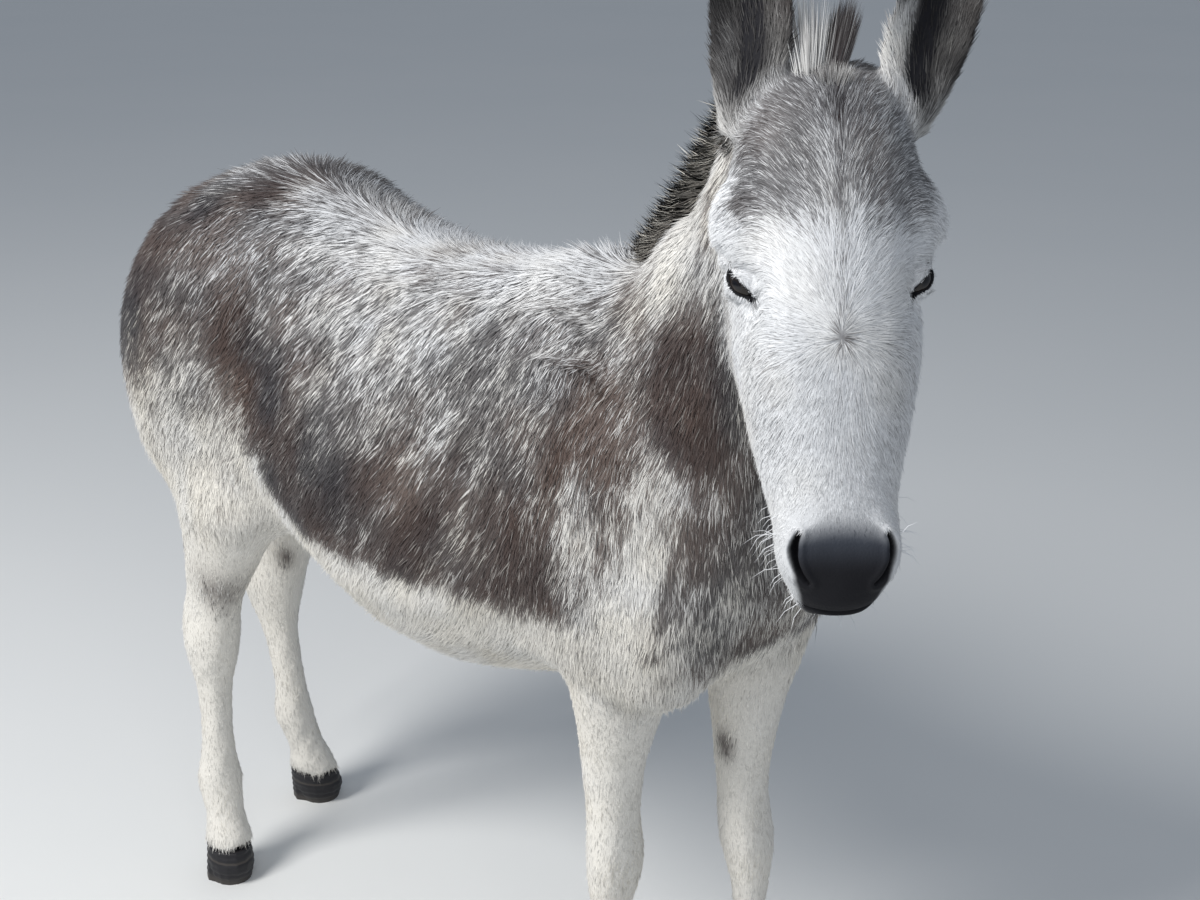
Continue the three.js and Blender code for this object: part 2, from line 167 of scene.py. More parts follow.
def fall(low, high, value):
    """0 under low, 1 over high, and a smooth step between them; low may be the larger."""
    t = np.clip((value - low) / (high - low), 0, 1)
    return t * t * (3 - 2 * t)


def centre(node):
    low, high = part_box(node)
    return (np.array(low) + np.array(high)) / 2


def heading(turn, pitch, roll=0.0):
    """Columns: left, up and along, for a thing that points along -Y turned to its right and pitched up."""
    left = np.array((np.cos(turn), -np.sin(turn), 0))
    along = np.array((-np.sin(turn) * np.cos(pitch), -np.cos(turn) * np.cos(pitch), np.sin(pitch)))
    up = np.cross(along, left)
    c, s = np.cos(roll), np.sin(roll)
    return np.stack((left * c + up * s, up * c - left * s, along), axis=1)


HEAD = heading(HEAD_TURN, HEAD_PITCH, HEAD_ROLL)
eyes = {side: centre(f"eye_{side}") for side in ("right", "left")}
POLL = (eyes["right"] + eyes["left"]) / 2 - HEAD @ (EYE_PLACE * (0, 1, 1))
HEAD_CENTRE = POLL + HEAD @ np.array((0, -0.05, 0.2))
HEAD_ZOOM, ZOOM_REACH = 3.0, 0.27  # how much finer the head's faces are, and how far from its centre
SKIN_GRID = 0.0128  # the even mesh's spacing on the body
SOLIDS_OVERLAP = 0.0006  # neighbouring solids stand a hair's breadth apart, so each is swollen by this
KEEP_SIZE = 0.52  # how hard a round of smoothing is pushed back, so that nothing shrinks


def on_head(p):
    return (p - POLL) @ HEAD


def magnified(p):
    """Space with the head three times as large, so that an even grid gives it finer faces than the body."""
    away = p - HEAD_CENTRE
    r = np.maximum(np.linalg.norm(away, axis=1, keepdims=True), 1e-9)
    return HEAD_CENTRE + away * np.where(r < ZOOM_REACH, HEAD_ZOOM, 1 + (HEAD_ZOOM - 1) * ZOOM_REACH / r)


def unmagnified(p):
    away = p - HEAD_CENTRE
    r = np.maximum(np.linalg.norm(away, axis=1, keepdims=True), 1e-9)
    beyond = 1 - (HEAD_ZOOM - 1) * ZOOM_REACH / r
    return HEAD_CENTRE + away * np.where(r < HEAD_ZOOM * ZOOM_REACH, 1 / HEAD_ZOOM, beyond)


def read(mesh):
    """A mesh's points, and its faces cut into triangles."""
    points = np.empty(len(mesh.vertices) * 3)
    mesh.vertices.foreach_get("co", points)
    mesh.calc_loop_triangles()
    corners = np.empty(len(mesh.loop_triangles) * 3, dtype=np.int64)
    mesh.loop_triangles.foreach_get("vertices", corners)
    return points.reshape(-1, 3), corners.reshape(-1, 3)


def soup(node):
    """A node's merged vertices and its triangles."""
    points, corners = read(nodes[node].data)
    _, first, place = np.unique(np.round(points, 6), axis=0, return_index=True, return_inverse=True)
    triangles = place.reshape(-1)[corners]
    a, b, c = triangles.T
    return points[first], triangles[(a != b) & (b != c) & (c != a)]


def quartered(a, b, c, ab, bc, ca):
    """The four triangles that the middles of its edges part a triangle into."""
    parts = ((a, ab, ca), (ab, b, bc), (ca, bc, c), (ab, bc, ca))
    return [np.stack(corners, axis=1) for corners in parts]


def halved(points, triangles):
    """Each triangle parted into four at the middles of its edges, with the shape as it was."""
    edges = np.sort(np.concatenate((triangles[:, :2], triangles[:, 1:], triangles[:, ::2])), axis=1)
    edges, place = np.unique(edges, axis=0, return_inverse=True)
    middles = place.reshape(3, -1) + len(points)
    points = np.vstack((points, points[edges].mean(axis=1)))
    return points, np.concatenate(quartered(*triangles.T, *middles))


def normals_of(points, triangles):
    a, b, c = (points[triangles[:, k]] for k in range(3))
    columns = []
    for part_of_face in np.cross(b - a, c - a).T:
        columns.append(sum(np.bincount(corner, part_of_face, len(points)) for corner in triangles.T))
    return unit(np.stack(columns, axis=1))


def object_of(name, points, triangles):
    mesh = bpy.data.meshes.new(name)
    mesh.vertices.add(len(points))
    mesh.vertices.foreach_set("co", np.ascontiguousarray(points, dtype=np.float32).ravel())
    mesh.loops.add(triangles.size)
    mesh.loops.foreach_set("vertex_index", np.ascontiguousarray(triangles, dtype=np.int32).ravel())
    mesh.polygons.add(len(triangles))
    mesh.polygons.foreach_set("loop_start", np.arange(0, triangles.size, 3, dtype=np.int32))
    mesh.update(calc_edges=True)
    mesh.polygons.foreach_set("use_smooth", np.ones(len(triangles), dtype=bool))
    made = bpy.data.objects.new(name, mesh)
    bpy.context.collection.objects.link(made)
    return made


def melted(name, solids, voxel):
    """The outside of several solids, as one even mesh of squares cut into triangles."""
    points, triangles, count = [], [], 0
    for p, t in solids:
        points.append(p)
        triangles.append(t + count)
        count += len(p)
    lump = object_of(name, np.vstack(points), np.vstack(triangles))
    grid = lump.modifiers.new("grid", "REMESH")
    grid.mode, grid.voxel_size = "VOXEL", voxel
    even = bpy.data.meshes.new_from_object(lump.evaluated_get(bpy.context.evaluated_depsgraph_get()))
    bpy.data.objects.remove(lump)
    made = read(even)
    bpy.data.meshes.remove(even)
    return made


class Web:
    """The edges of a mesh, to smooth what its points carry."""

    def __init__(self, triangles, count):
        ends = np.sort(np.concatenate((triangles[:, :2], triangles[:, 1:], triangles[:, ::2])), axis=1)
        ends = np.unique(ends, axis=0)
        self.a = np.concatenate((ends[:, 0], ends[:, 1]))
        self.b = np.concatenate((ends[:, 1], ends[:, 0]))
        self.count = count
        self.degree = np.maximum(np.bincount(self.a, minlength=count), 1)[:, None]

    def mean(self, values):
        values = values.reshape(self.count, -1)
        columns = [np.bincount(self.a, weights=column[self.b], minlength=self.count) for column in values.T]
        return np.stack(columns, axis=1) / self.degree

    def even(self, values, rounds, push=0.0):
        """Smoothed values; a push takes back the shrinking of each round."""
        out = values.reshape(self.count, -1).astype(float)
        for _ in range(rounds):
            out = out + (self.mean(out) - out) * 0.5
            if push:
                out = out - (self.mean(out) - out) * push
        return out


def refined(points, triangles, chosen):
    """The chosen triangles parted into four, and their neighbours into two to match."""
    edges = np.sort(triangles[:, ((0, 1), (1, 2), (2, 0))], axis=2)
    edges, place = np.unique(edges.reshape(-1, 2), axis=0, return_inverse=True)
    place = place.reshape(-1, 3)
    cut = np.zeros(len(edges), dtype=bool)
    cut[place[chosen]] = True
    while (double := cut[place].sum(axis=1) == 2).any():
        cut[place[double]] = True
    middle = np.cumsum(cut) - 1 + len(points)
    cuts = cut[place].sum(axis=1)
    made = quartered(*triangles[cuts == 3].T, *middle[place[cuts == 3]].T)
    for k in range(3):
        here = (cuts == 1) & cut[place[:, k]]
        a, b, c = triangles[here][:, (k, (k + 1) % 3, (k + 2) % 3)].T
        m = middle[place[here, k]]
        made += [np.stack((a, m, c), axis=1), np.stack((m, b, c), axis=1)]
    return np.vstack((points, points[edges[cut]].mean(axis=1))), np.vstack([triangles[cuts == 0]] + made)


def along_line(places, line):
    """How far each place is from a bent line, and how far along it the nearest point is, 0 to 1."""
    line = np.array(line, dtype=float)
    steps = np.linalg.norm(np.diff(line, axis=0), axis=1)
    gone = np.concatenate(((0,), np.cumsum(steps)))
    best, where = np.full(len(places), np.inf), np.zeros(len(places))
    for k, step in enumerate(np.diff(line, axis=0)):
        t = np.clip((places - line[k]) @ step / (step @ step), 0, 1)
        gap = np.linalg.norm(places - line[k] - t[:, None] * step, axis=1)
        closer = gap < best
        best = np.where(closer, gap, best)
        where = np.where(closer, (gone[k] + t * steps[k]) / gone[-1], where)
    return best, where


solids = []
for node in FLESH + ["eye_right", "eye_left"]:
    p, t = soup(node)
    p = p + normals_of(p, t) * SOLIDS_OVERLAP
    for _ in range(2):
        p, t = halved(p, t)
    solids.append((magnified(p), t))
skin, hide = melted("hide", solids, SKIN_GRID)
skin = unmagnified(skin)
skin = Web(hide, len(skin)).even(skin, 16, KEEP_SIZE)

# Finer faces where the lids, nostrils and lips go. Each line is drawn in the head's own axes: the nostril's
# to the side and down the face, the mouth's out of the brow and down the face.
MOUTH_TURNS = 0.007  # the muzzle's midline lies this far to the left of the head's at the nostrils
NOSTRIL_BEND = np.array(((0.042, 0.412), (0.053, 0.430), (0.044, 0.448), (0.031, 0.458)))
t = np.linspace(0, 1, 13)[:, None]
NOSTRIL = (1 - t) ** 3 * NOSTRIL_BEND[0] + 3 * t * (1 - t) ** 2 * NOSTRIL_BEND[1]
NOSTRIL = NOSTRIL + 3 * t**2 * (1 - t) * NOSTRIL_BEND[2] + t**3 * NOSTRIL_BEND[3]
NOSTRIL_DEPTH, NOSTRIL_INWARDS = 0.016, np.array((-0.40, -0.85, -0.30))
MOUTH = [(-0.036, 0.4925), (-0.056, 0.478), (-0.080, 0.452), (-0.098, 0.424)]
MUZZLE_TOP = 0.40  # nothing of the mouth is higher on the face than this
FAR = 9.0  # added to a gap where the thing that it is measured from can't be


def face_places(points):
    """In the head's own axes, with the midline of the muzzle brought to the middle."""
    q = on_head(points)
    q[:, 0] -= MOUTH_TURNS * fall(0.15, 0.42, q[:, 2])
    return q


for near_lids, near_lips in ((0.036, 0.020), (0.026, 0.012)):
    middle = skin[hide].mean(axis=1)
    q = face_places(middle)
    near_eye = np.minimum(*(np.linalg.norm(middle - eyes[side], axis=1) for side in eyes))
    near_nostril = along_line(np.abs(q[:, (0, 2)]), NOSTRIL)[0] + FAR * (q[:, 1] < -0.055)
    near_mouth = along_line(q[:, 1:], MOUTH)[0] + FAR * (q[:, 2] < MUZZLE_TOP)
    chosen = (near_eye < near_lids) | (near_nostril < near_lips) | (near_mouth < near_lips * 0.5)
    skin, hide = refined(skin, hide, chosen)
web = Web(hide, len(skin))

# Which part of the body each point belongs to, softly.
flesh_points, flesh_faces, owner = [], [], []
for k, node in enumerate(FLESH):
    p, t = soup(node)
    flesh_faces += (t + len(flesh_points)).tolist()
    flesh_points += [Vector(q) for q in p]
    owner += [k] * len(t)
nearest = BVHTree.FromPolygons(flesh_points, flesh_faces, all_triangles=True)
label = np.array(owner)[[nearest.find_nearest(Vector(q))[2] for q in skin]]
share = web.even(np.eye(len(FLESH))[label], 8)
wide = web.even(share, 30)
trunk_share = wide[:, FLESH.index("trunk")]
legs_share = wide[:, [k for k, node in enumerate(FLESH) if "leg_" in node]].sum(axis=1)
seam = np.clip(4 * trunk_share * wide[:, FLESH.index("neck")], 0, 1)[:, None]
legs_seam = np.clip(4 * trunk_share * legs_share, 0, 1)[:, None]
for _ in range(70):
    skin = skin + (web.mean(skin) - skin) * np.maximum(seam, 0.25 * legs_seam) * 0.6
part = {node: share[:, k] for k, node in enumerate(FLESH)}
part["legs"] = sum(part[node] for node in FLESH if "leg_" in node)
part["ears"] = part["ear_right"] + part["ear_left"]

# Drawn in by the depth of the coat: deep on the trunk and neck, thin on the legs, nearly bare at the muzzle.
COAT_DEPTH = {
    "trunk": 0.008,
    "neck": 0.008,
    "tail_dock": 0.006,
    "legs": 0.0055,
    "head": 0.003,
    "ears": 0.0012,
}
q = face_places(skin)
bare = fall(0.33, 0.41, q[:, 2]) * part["head"]
depth = sum(COAT_DEPTH[name] * part[name] for name in COAT_DEPTH) * (1 - 0.8 * bare)
depth *= 1 - 0.6 * fall(0.30, 0.10, skin[:, 2]) * part["legs"]
depth = web.even(depth, 10)
skin = skin - web.even(normals_of(skin, hide), 2) * depth

# The ears' cups, hollowed between their rims, which are found level by level up each ear. ear_over is -1 at
# an ear's outer rim and 1 at the rim by the forelock; ear_rise is 0 at its root and 1 at its tip.
EAR_HOLLOW, EAR_LEVELS = 0.014, 30
q = face_places(skin)
n = web.even(normals_of(skin, hide), 2)
ear_over, ear_rise = np.zeros(len(skin)), np.zeros(len(skin))
for node, s in (("ear_right", -1), ("ear_left", 1)):
    low, high = (np.array(corner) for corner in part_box(node))
    rise = np.clip((skin[:, 2] - low[2]) / (high[2] - low[2]), 0, 1)
    level, own = np.round(rise * EAR_LEVELS).astype(int), part[node] > 0.6
    rims = np.full((EAR_LEVELS + 1, 2), np.nan)
    for k in range(EAR_LEVELS + 1):
        here = own & (level == k)
        if here.sum() > 8:
            rims[k] = np.percentile(q[here, 0], (3, 97))
    known = ~np.isnan(rims[:, 0])
    left_rim, right_rim = (np.interp(rise * EAR_LEVELS, np.flatnonzero(known), rim[known]) for rim in rims.T)
    over = (2 * q[:, 0] - left_rim - right_rim) / (right_rim - left_rim) * -s
    ear_over, ear_rise = np.where(own, over, ear_over), np.where(own, rise, ear_rise)
ear_inside = fall(0.10, 0.55, (n @ HEAD)[:, 1]) * part["ears"]
cup = np.clip(1 - ear_over**2, 0, 1) * fall(0.04, 0.20, ear_rise) * fall(1.0, 0.85, ear_rise) * ear_inside
skin = skin - np.outer(web.even(cup, 2)[:, 0] * EAR_HOLLOW, HEAD[:, 1])

# Lids: two thick folds that close over each eyeball from above and below, and meet at the inner corner.
LID_OUT, LID_ALONG = np.array((0.58, 0.76, 0.26)), np.array((-0.64, 0.22, 0.73))
LID_REACH, UPPER_OPEN, LOWER_OPEN = np.radians((56, 10, 15))
LID_THICK, BEHIND_EYE = 0.0022, 0.0035


def eye_axes(s):
    """Where an eye looks, where its opening runs, and its upper side; s is -1 on the right, 1 on the left."""
    mirror = np.array((s, 1, 1))
    out = HEAD @ unit(LID_OUT * mirror)
    along = HEAD @ (LID_ALONG * mirror)
    along = unit(along - out * (along @ out))
    return out, along, np.cross(along, out) * s


lid_gap = np.full(len(skin), 1.0)  # how far outside an eye's opening, in metres
lid_crease_shade = np.zeros(len(skin))  # the fold above the outer half of each eye, darkened as painted shade
for side, s in (("right", -1), ("left", 1)):
    out, along, above = eye_axes(s)
    d = skin - eyes[side]
    r = np.linalg.norm(d, axis=1)
    a = np.arctan2(d @ along, d @ out) / LID_REACH
    b = np.arcsin(np.clip((d @ above) / r, -1, 1))
    opening = np.where(b > 0, UPPER_OPEN, LOWER_OPEN)
    gap = EYE_RADIUS * (np.abs(b) - opening * (1 - np.clip(np.abs(a), 0, 2) ** 2))
    front = (r < 0.05) & (d @ out > -0.004)
    gap = np.where(front, gap, 1.0)
    fold = np.exp(-(((gap - 0.0055) / 0.0012) ** 2)) * (b > 0)
    lid = EYE_RADIUS + LID_THICK - 0.0005 * fold
    lid_crease_shade = np.maximum(lid_crease_shade, fold * fall(0.1, -0.5, a) * (a > -1.1))
    hold = fall(0.015, 0.0035, gap) * front
    wanted = r + (np.maximum(lid, np.minimum(r, lid + 0.004)) - r) * hold
    wanted = np.maximum(wanted, (EYE_RADIUS + 0.0015) * front)
    wanted = np.where(front, wanted + (EYE_RADIUS - BEHIND_EYE - wanted) * fall(0.0006, -0.0008, gap), r)
    skin = eyes[side] + d * (wanted / r)[:, None]
    lid_gap = np.minimum(lid_gap, gap)

# Nostrils: tall commas that run in and back, with a soft raised rim; and the line where the lips close.
q = face_places(skin)
n = normals_of(skin, hide)
sideways = np.sign(q[:, 0])
NOSTRIL_HALF_WIDTHS = (0.0026, 0.0045, 0.0030, 0.0010)  # from its top to its tail
nostril_gap, run = along_line(np.stack((np.abs(q[:, 0]), q[:, 2]), axis=1), NOSTRIL)
nostril_gap = nostril_gap - np.interp(run, (0, 0.3, 0.7, 1), NOSTRIL_HALF_WIDTHS) + FAR * (q[:, 1] < -0.06)
onwards = np.ones_like(sideways)
inwards = (NOSTRIL_INWARDS * np.stack((sideways, onwards, onwards), axis=1)) @ HEAD.T
skin = skin + inwards * (NOSTRIL_DEPTH * fall(0.0010, -0.0045, nostril_gap))[:, None]
skin = skin + n * (0.0016 * np.exp(-(((nostril_gap - 0.0035) / 0.003) ** 2)))[:, None]
mouth_gap, run = along_line(q[:, 1:], MOUTH)
mouth_gap = mouth_gap + FAR * (q[:, 2] < MUZZLE_TOP)
skin = skin - n * (0.0035 * np.exp(-((mouth_gap / 0.0022) ** 2)) * fall(1.0, 0.7, run))[:, None]
skin_normals = normals_of(skin, hide)

# Where the hair lies: back along the spine, down and back over the ribs, down the legs, and on the face
# outwards from the whorl between the eyes, with the ears' hair running up to their tips.
WHORL = np.array((0.002, 0.234))
x, y, z = skin.T
q = face_places(skin)
qn = skin_normals @ HEAD
side = np.clip(x / 0.07, -1, 1)
turned_up = skin_normals[:, 2]
topside, underside = fall(0.70, 0.99, turned_up), fall(-0.5, -0.9, turned_up)
ones = np.ones(len(skin))


def field(*columns):
    return np.stack([column * ones for column in columns], axis=1)


def blend(w, a, b):
    return a + (b - a) * w[:, None]


side_of_head = np.where(q[:, 0] < 0, -1.0, 1.0)
upper = fall(0.0, 0.6, turned_up)
over_body = blend(topside, field(side * 0.5 * upper, 0.50 - 0.45 * upper, -1.0), field(side * 0.9, 0.3, -0.5))
over_body = blend(underside, over_body, field(side * 0.3, 1.0, 0))
over_body = blend(fall(0.40, 0.60, y), over_body, field(0, 0.25, -1.0))
before_legs = blend(upper, field(0, -0.04, -1.0), field(side * 0.9, -0.1, -0.7))
over_body = blend(fall(-0.12, -0.32, y), over_body, before_legs)
across, down = q[:, 0] - WHORL[0], q[:, 2] - WHORL[1]
outer = fall(0.045, 0.095, np.abs(across))
crown = field(np.clip(across / 0.035, -1, 1), 0, np.clip(down / 0.06, -1, 1) * (1 - outer) + 0.55 * outer)
bridge = field(np.clip(across / 0.06, -1, 1) * 0.8, 0, np.clip(down / 0.035, 0, 1))
over_face = blend(fall(-0.03, 0.03, down), crown, bridge)
cheek = fall(0.55, 0.9, np.abs(qn[:, 0])) * fall(0.10, 0.20, q[:, 2])
over_face = blend(cheek, over_face, field(0, -0.7, 0.7))
over_face = blend(fall(-0.2, -0.6, qn[:, 1]), over_face, field(0, -0.6, 0.5)) @ HEAD.T
lie = sum(
    flow * part[name][:, None]
    for name, flow in {
        "trunk": over_body,
        "neck": blend(fall(0.3, 0.9, turned_up), field(0, 0.08, -1.0), field(side * 0.6, 0.1, -1.0)),
        "legs": field(0, 0.12, -1.0),
        "tail_dock": field(0, 0, -1.0),
        "head": over_face,
        "ears": field(0, 0.1, 1.0) + np.outer(-side_of_head * ear_over * ear_inside * 0.7, HEAD[:, 0]),
    }.items()
)


def on_skin(vectors, normals):
    return unit(vectors - normals * (vectors * normals).sum(axis=1, keepdims=True))


lie = on_skin(lie, skin_normals)
lie = blend(part["head"] + part["ears"], web.even(lie, 60), web.even(lie, 2))
lie = on_skin(lie, skin_normals)


def noise(p, size, seed):
    """Smooth lumps about size metres across, -1 to 1; size may differ along each axis."""
    place = p / np.asarray(size) + seed * 7.31
    cell = np.floor(place).astype(np.int64)
    ease = place - cell
    ease = ease * ease * (3 - 2 * ease)
    total = 0.0
    for corner in product((0, 1), repeat=3):
        at = cell + np.array(corner)
        mixed = (at[:, 0] * 73856093) ^ (at[:, 1] * 19349663) ^ (at[:, 2] * 83492791) ^ (seed * 2654435)
        mixed = ((mixed ^ (mixed >> 13)) * 1274126177) & 0xFFFFFFFF
        value = ((mixed ^ (mixed >> 15)) & 0xFFFF) / 32767.5 - 1
        total = total + value * np.where(corner, ease, 1 - ease).prod(axis=1)
    return total


# The markings: how many of the hairs are dark, how brown the dark ones are, and how cream the pale ones. Both
# sides of the body carry the same: a dark band low on the flank that ends in a sharp line over a pale belly.
# Painted shade is added to the darkness low on the breast and at the back of the hindquarters.
mirrored = np.stack((-np.abs(x), y, z), axis=1)


def patch(place, size):
    return np.exp(-(((mirrored - place) / size) ** 2).sum(axis=1))


belly = np.interp(
    y,
    (-0.33, -0.27, -0.19, -0.06, 0.02, 0.13, 0.20, 0.26),
    (0.70, 0.675, 0.670, 0.676, 0.678, 0.684, 0.725, 0.775),
)
belly = belly + 0.010 * noise(skin, 0.05, 3)
flank_dark = np.interp(
    z - belly,
    (-0.012, 0.006, 0.07, 0.12, 0.18, 0.24, 0.30, 0.35),
    (0.02, 0.98, 0.97, 0.89, 0.72, 0.65, 0.55, 0.27),
)
haunch_dark = np.interp(z, (0.66, 0.72, 0.80, 0.90, 1.0, 1.06), (0.06, 0.22, 0.52, 0.70, 0.83, 0.73))
shoulder_dark = np.interp(
    z,
    (0.60, 0.66, 0.74, 0.80, 0.86, 0.95, 1.05),
    (0.12, 0.36, 0.56, 0.62, 0.68, 0.67, 0.32),
)
dark = flank_dark * fall(0.30, 0.22, y) + haunch_dark * fall(0.22, 0.30, y)
dark = dark * (1 - 0.5 * fall(0.24, 0.10, np.abs(y)) * fall(0.97, 1.03, z))
shoulder = fall(-0.26, -0.32, y)
dark = dark * (1 - shoulder) + shoulder * shoulder_dark
# Painted shade on the back of the hindquarters, from the thighs up.
dark = dark + 0.22 * fall(0.36, 0.46, y) * fall(0.74, 0.84, z)
PATCHES = (  # on the right side: its middle, how far it spreads, and how much darker the coat is there
    ((-0.197, 0.262, 0.868), (0.10, 0.050, 0.050), 0.34),
    ((-0.19, 0.30, 0.92), (0.1, 0.07, 0.05), 0.26),
    ((-0.21, 0.235, 0.75), (0.1, 0.018, 0.06), -0.20),
    ((-0.17, -0.30, 0.90), (0.1, 0.05, 0.08), 0.34),
    ((-0.16, -0.375, 0.775), (0.1, 0.024, 0.065), -0.60),
    ((-0.17, -0.355, 0.68), (0.1, 0.035, 0.07), -0.34),
    ((-0.18, -0.285, 0.795), (0.1, 0.018, 0.05), -0.38),
    ((-0.12, -0.435, 0.81), (0.1, 0.03, 0.06), 0.30),
    # The next three darken the breast under the chin and in the fold of the chest: painted shade.
    ((-0.06, -0.47, 0.72), (0.06, 0.05, 0.05), 0.20),
    ((-0.11, -0.44, 0.650), (0.05, 0.04, 0.035), 0.26),
    ((-0.056, -0.465, 0.668), (0.05, 0.06, 0.022), 0.45),
    ((-0.086, 0.321, 1.055), (0.03, 0.014, 0.014), 0.45),
    ((-0.11, 0.36, 1.03), (0.03, 0.012, 0.012), 0.3),
)
for place, spread, amount in PATCHES:
    dark = dark + amount * patch(place, spread)
BROWN_PATCHES = (
    ((-0.157, -0.318, 0.911), (0.12, 0.07, 0.09), 0.9),
    ((-0.2, 0.26, 0.83), (0.1, 0.05, 0.06), 0.5),
    ((-0.2, -0.1, 0.80), (0.1, 0.12, 0.06), 0.4),
)
warm = 0.30 + sum(amount * patch(place, spread) for place, spread, amount in BROWN_PATCHES)
cream = np.interp(z, (0.6, 0.75, 0.95, 1.05), (0.75, 0.55, 0.25, 0.0)) + 0.25 * fall(0.3, 0.5, y)
neck_dark = 0.68 + 0.70 * patch((-0.122, -0.41, 0.945), (0.10, 0.06, 0.10))
neck_dark = neck_dark - 0.20 * fall(0.82, 0.74, z) - 0.38 * fall(1.00, 1.08, z)

# The face: a dark cap down to the brow, parted by a pale fan, a dark whorl with a fine line up from it,
# shaded cheeks, and specks above the pad of the nose; with painted shade under the jaw, in the folds above
# the eyes and in a crease over the right brow.
from_middle, down_face = np.abs(q[:, 0]), q[:, 2]
brow_line = 0.134 - 0.60 * np.clip(from_middle - 0.066, 0, 1) + 0.012 * noise(skin, 0.02, 4)
fan_wide = 0.010 + 0.16 * np.clip(down_face - 0.03, 0, 1)
fan = np.exp(-((q[:, 0] / fan_wide) ** 2)) * fall(0.022, 0.055, down_face)
cap = fall(0.026, -0.026, down_face - brow_line) * (1 - 0.55 * fan) * fall(0.098, 0.080, from_middle)
face_dark = 0.76 * cap * (1 - 0.2 * fall(0.01, 0.05, q[:, 0])) + 0.05
# Painted shade under the jaw.
shade_under_jaw = fall(-0.06, -0.11, q[:, 1]) * fall(0.40, 0.30, down_face) * fall(0.06, 0.09, down_face)
face_dark = face_dark + 0.30 * shade_under_jaw
whorl_gap = np.hypot(across, down)
face_dark += 0.95 * np.exp(-((whorl_gap / 0.006) ** 2))
face_dark += 0.42 * np.exp(-((across / 0.0045) ** 2)) * fall(0.01, -0.02, down)
beside_bridge = np.exp(-((from_middle - 0.055) / 0.02) ** 2)
face_dark += 0.16 * beside_bridge * fall(0.20, 0.25, down_face) * fall(0.36, 0.30, down_face)
# Painted shade in the fold above each eye.
face_dark += 0.75 * lid_crease_shade
specks = fall(0.0, 0.4, noise(skin, 0.004, 5))
face_dark += 0.22 * fall(0.30, 0.36, down_face) * np.exp(-((q[:, 0] / 0.03) ** 2)) * specks
# Painted shade in a crease above the right brow.
BROW_CREASE_SHADE, CREASE_SPREAD = (-0.086, -0.014, 0.107), (0.012, 0.03, 0.006)
face_dark += 0.8 * np.exp(-(((q - BROW_CREASE_SHADE) / CREASE_SPREAD) ** 2).sum(axis=1))

# The ears: grey behind, darker towards the tip and rims, and dark inside, with a pale patch by the forelock.
outer_ear = np.interp(ear_rise, (0.0, 0.12, 0.30, 0.7, 1.0), (0.06, 0.34, 0.58, 0.76, 0.98))
outer_ear = outer_ear + (1 - outer_ear) * fall(0.55, 0.85, np.abs(ear_over)) * fall(0.10, 0.30, ear_rise)
inner_ear = np.interp(
    ear_over,
    (-1, -0.8, -0.45, -0.1, 0.25, 0.6, 0.85, 1),
    (0.92, 0.88, 0.80, 1.0, 1.0, 0.86, 0.97, 1.0),
)
inner_ear = inner_ear * np.interp(ear_rise, (0, 0.08, 0.2, 1), (0.35, 0.75, 1, 1))
inner_ear = inner_ear + 0.12 * noise(skin, 0.02, 6)
pale_patch = (0.25 + 0.72 * (q[:, 0] > 0)) * fall(0.25, 0.60, ear_over) * fall(0.50, 0.36, ear_rise)
inner_ear = inner_ear * (1 - pale_patch)
ear_dark = outer_ear + (inner_ear - outer_ear) * ear_inside
ear_pit = ear_inside * fall(0.50, 0.22, np.abs(ear_over - 0.06))
ear_pit = ear_pit * fall(0.06, 0.16, ear_rise) * fall(0.95, 0.75, ear_rise)

# The legs: pale, darker up the thigh, with a few dark spots.
DOCK_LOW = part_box("tail_dock")[0][2]
LEG_SPOTS = (  # its middle, how far it spreads and how dark it is
    ((0.041, -0.343, 0.465), (0.022, 0.011, 0.014), 1.6),
    ((0.041, -0.345, 0.448), (0.022, 0.009, 0.006), 0.4),
    ((0.074, 0.526, 0.446), (0.02, 0.008, 0.018), 1.4),
    ((-0.149, 0.394, 0.490), (0.05, 0.040, 0.040), 0.72),
)
leg_dark = 0.03 + 0.10 * fall(0.45, 0.62, z) + 0.52 * fall(0.66, 0.82, z) * (y > 0)
for place, spread, amount in LEG_SPOTS:
    leg_dark = leg_dark + amount * np.exp(-(((skin - place) / spread) ** 2).sum(axis=1))
for name, (d, w, c) in {
    "neck": (neck_dark, 0.45, 0.50),
    "head": (face_dark, 0.22, 0.04 + 0.35 * fall(-0.05, -0.10, q[:, 1])),
    "legs": (leg_dark, 0.4, 0.70),
    "ears": (ear_dark, 0.12, 0.35),
    "tail_dock": (0.35 + 0.6 * fall(DOCK_LOW + 0.09, DOCK_LOW + 0.02, z), 0.4, 0.4),
}.items():
    dark, warm, cream = (old + (new - old) * part[name] for old, new in ((dark, d), (warm, w), (cream, c)))

# Mottles, drawn out the way the hair lies.
along_hair = mirrored + (0, 0.45, 0) * z[:, None] * fall(-0.30, -0.15, y)[:, None]
mottle = noise(along_hair, (0.10, 0.045, 0.13), 21) + 0.9 * noise(along_hair, (0.05, 0.022, 0.06), 22)
dark = dark + 0.20 * (part["trunk"] + part["neck"]) * mottle * fall(0.06, 0.25, dark)
dark, warm, cream = (np.clip(web.even(v, 3)[:, 0], 0, 1) for v in (dark, warm, cream))

# Bare skin: slate on the pad of the nose, near black on the lip, in the nostrils and round the eyes.
pad_wide = np.interp(
    q[:, 2],
    (0.398, 0.409, 0.418, 0.445, 0.456, 0.467, 0.480, 0.492),
    (0.022, 0.037, 0.045, 0.046, 0.044, 0.039, 0.035, 0.030),
)
pad = fall(0.003, -0.003, from_middle - pad_wide) * fall(0.385, 0.420, q[:, 2] - 4.0 * q[:, 0] ** 2)
pad = pad * fall(-0.10, -0.055, q[:, 1]) * part["head"]
TEAR_DUCT = [(0.0705, 0.197), (0.064, 0.211)]
tear = along_line(np.abs(q[:, (0, 2)]), TEAR_DUCT)[0] + FAR * (qn[:, 1] < 0)
nostril_hole = fall(0.0010, -0.0015, nostril_gap)
lid_rim = fall(0.0034, 0.0016, lid_gap)
lip = fall(0.005, 0.001, mouth_gap)

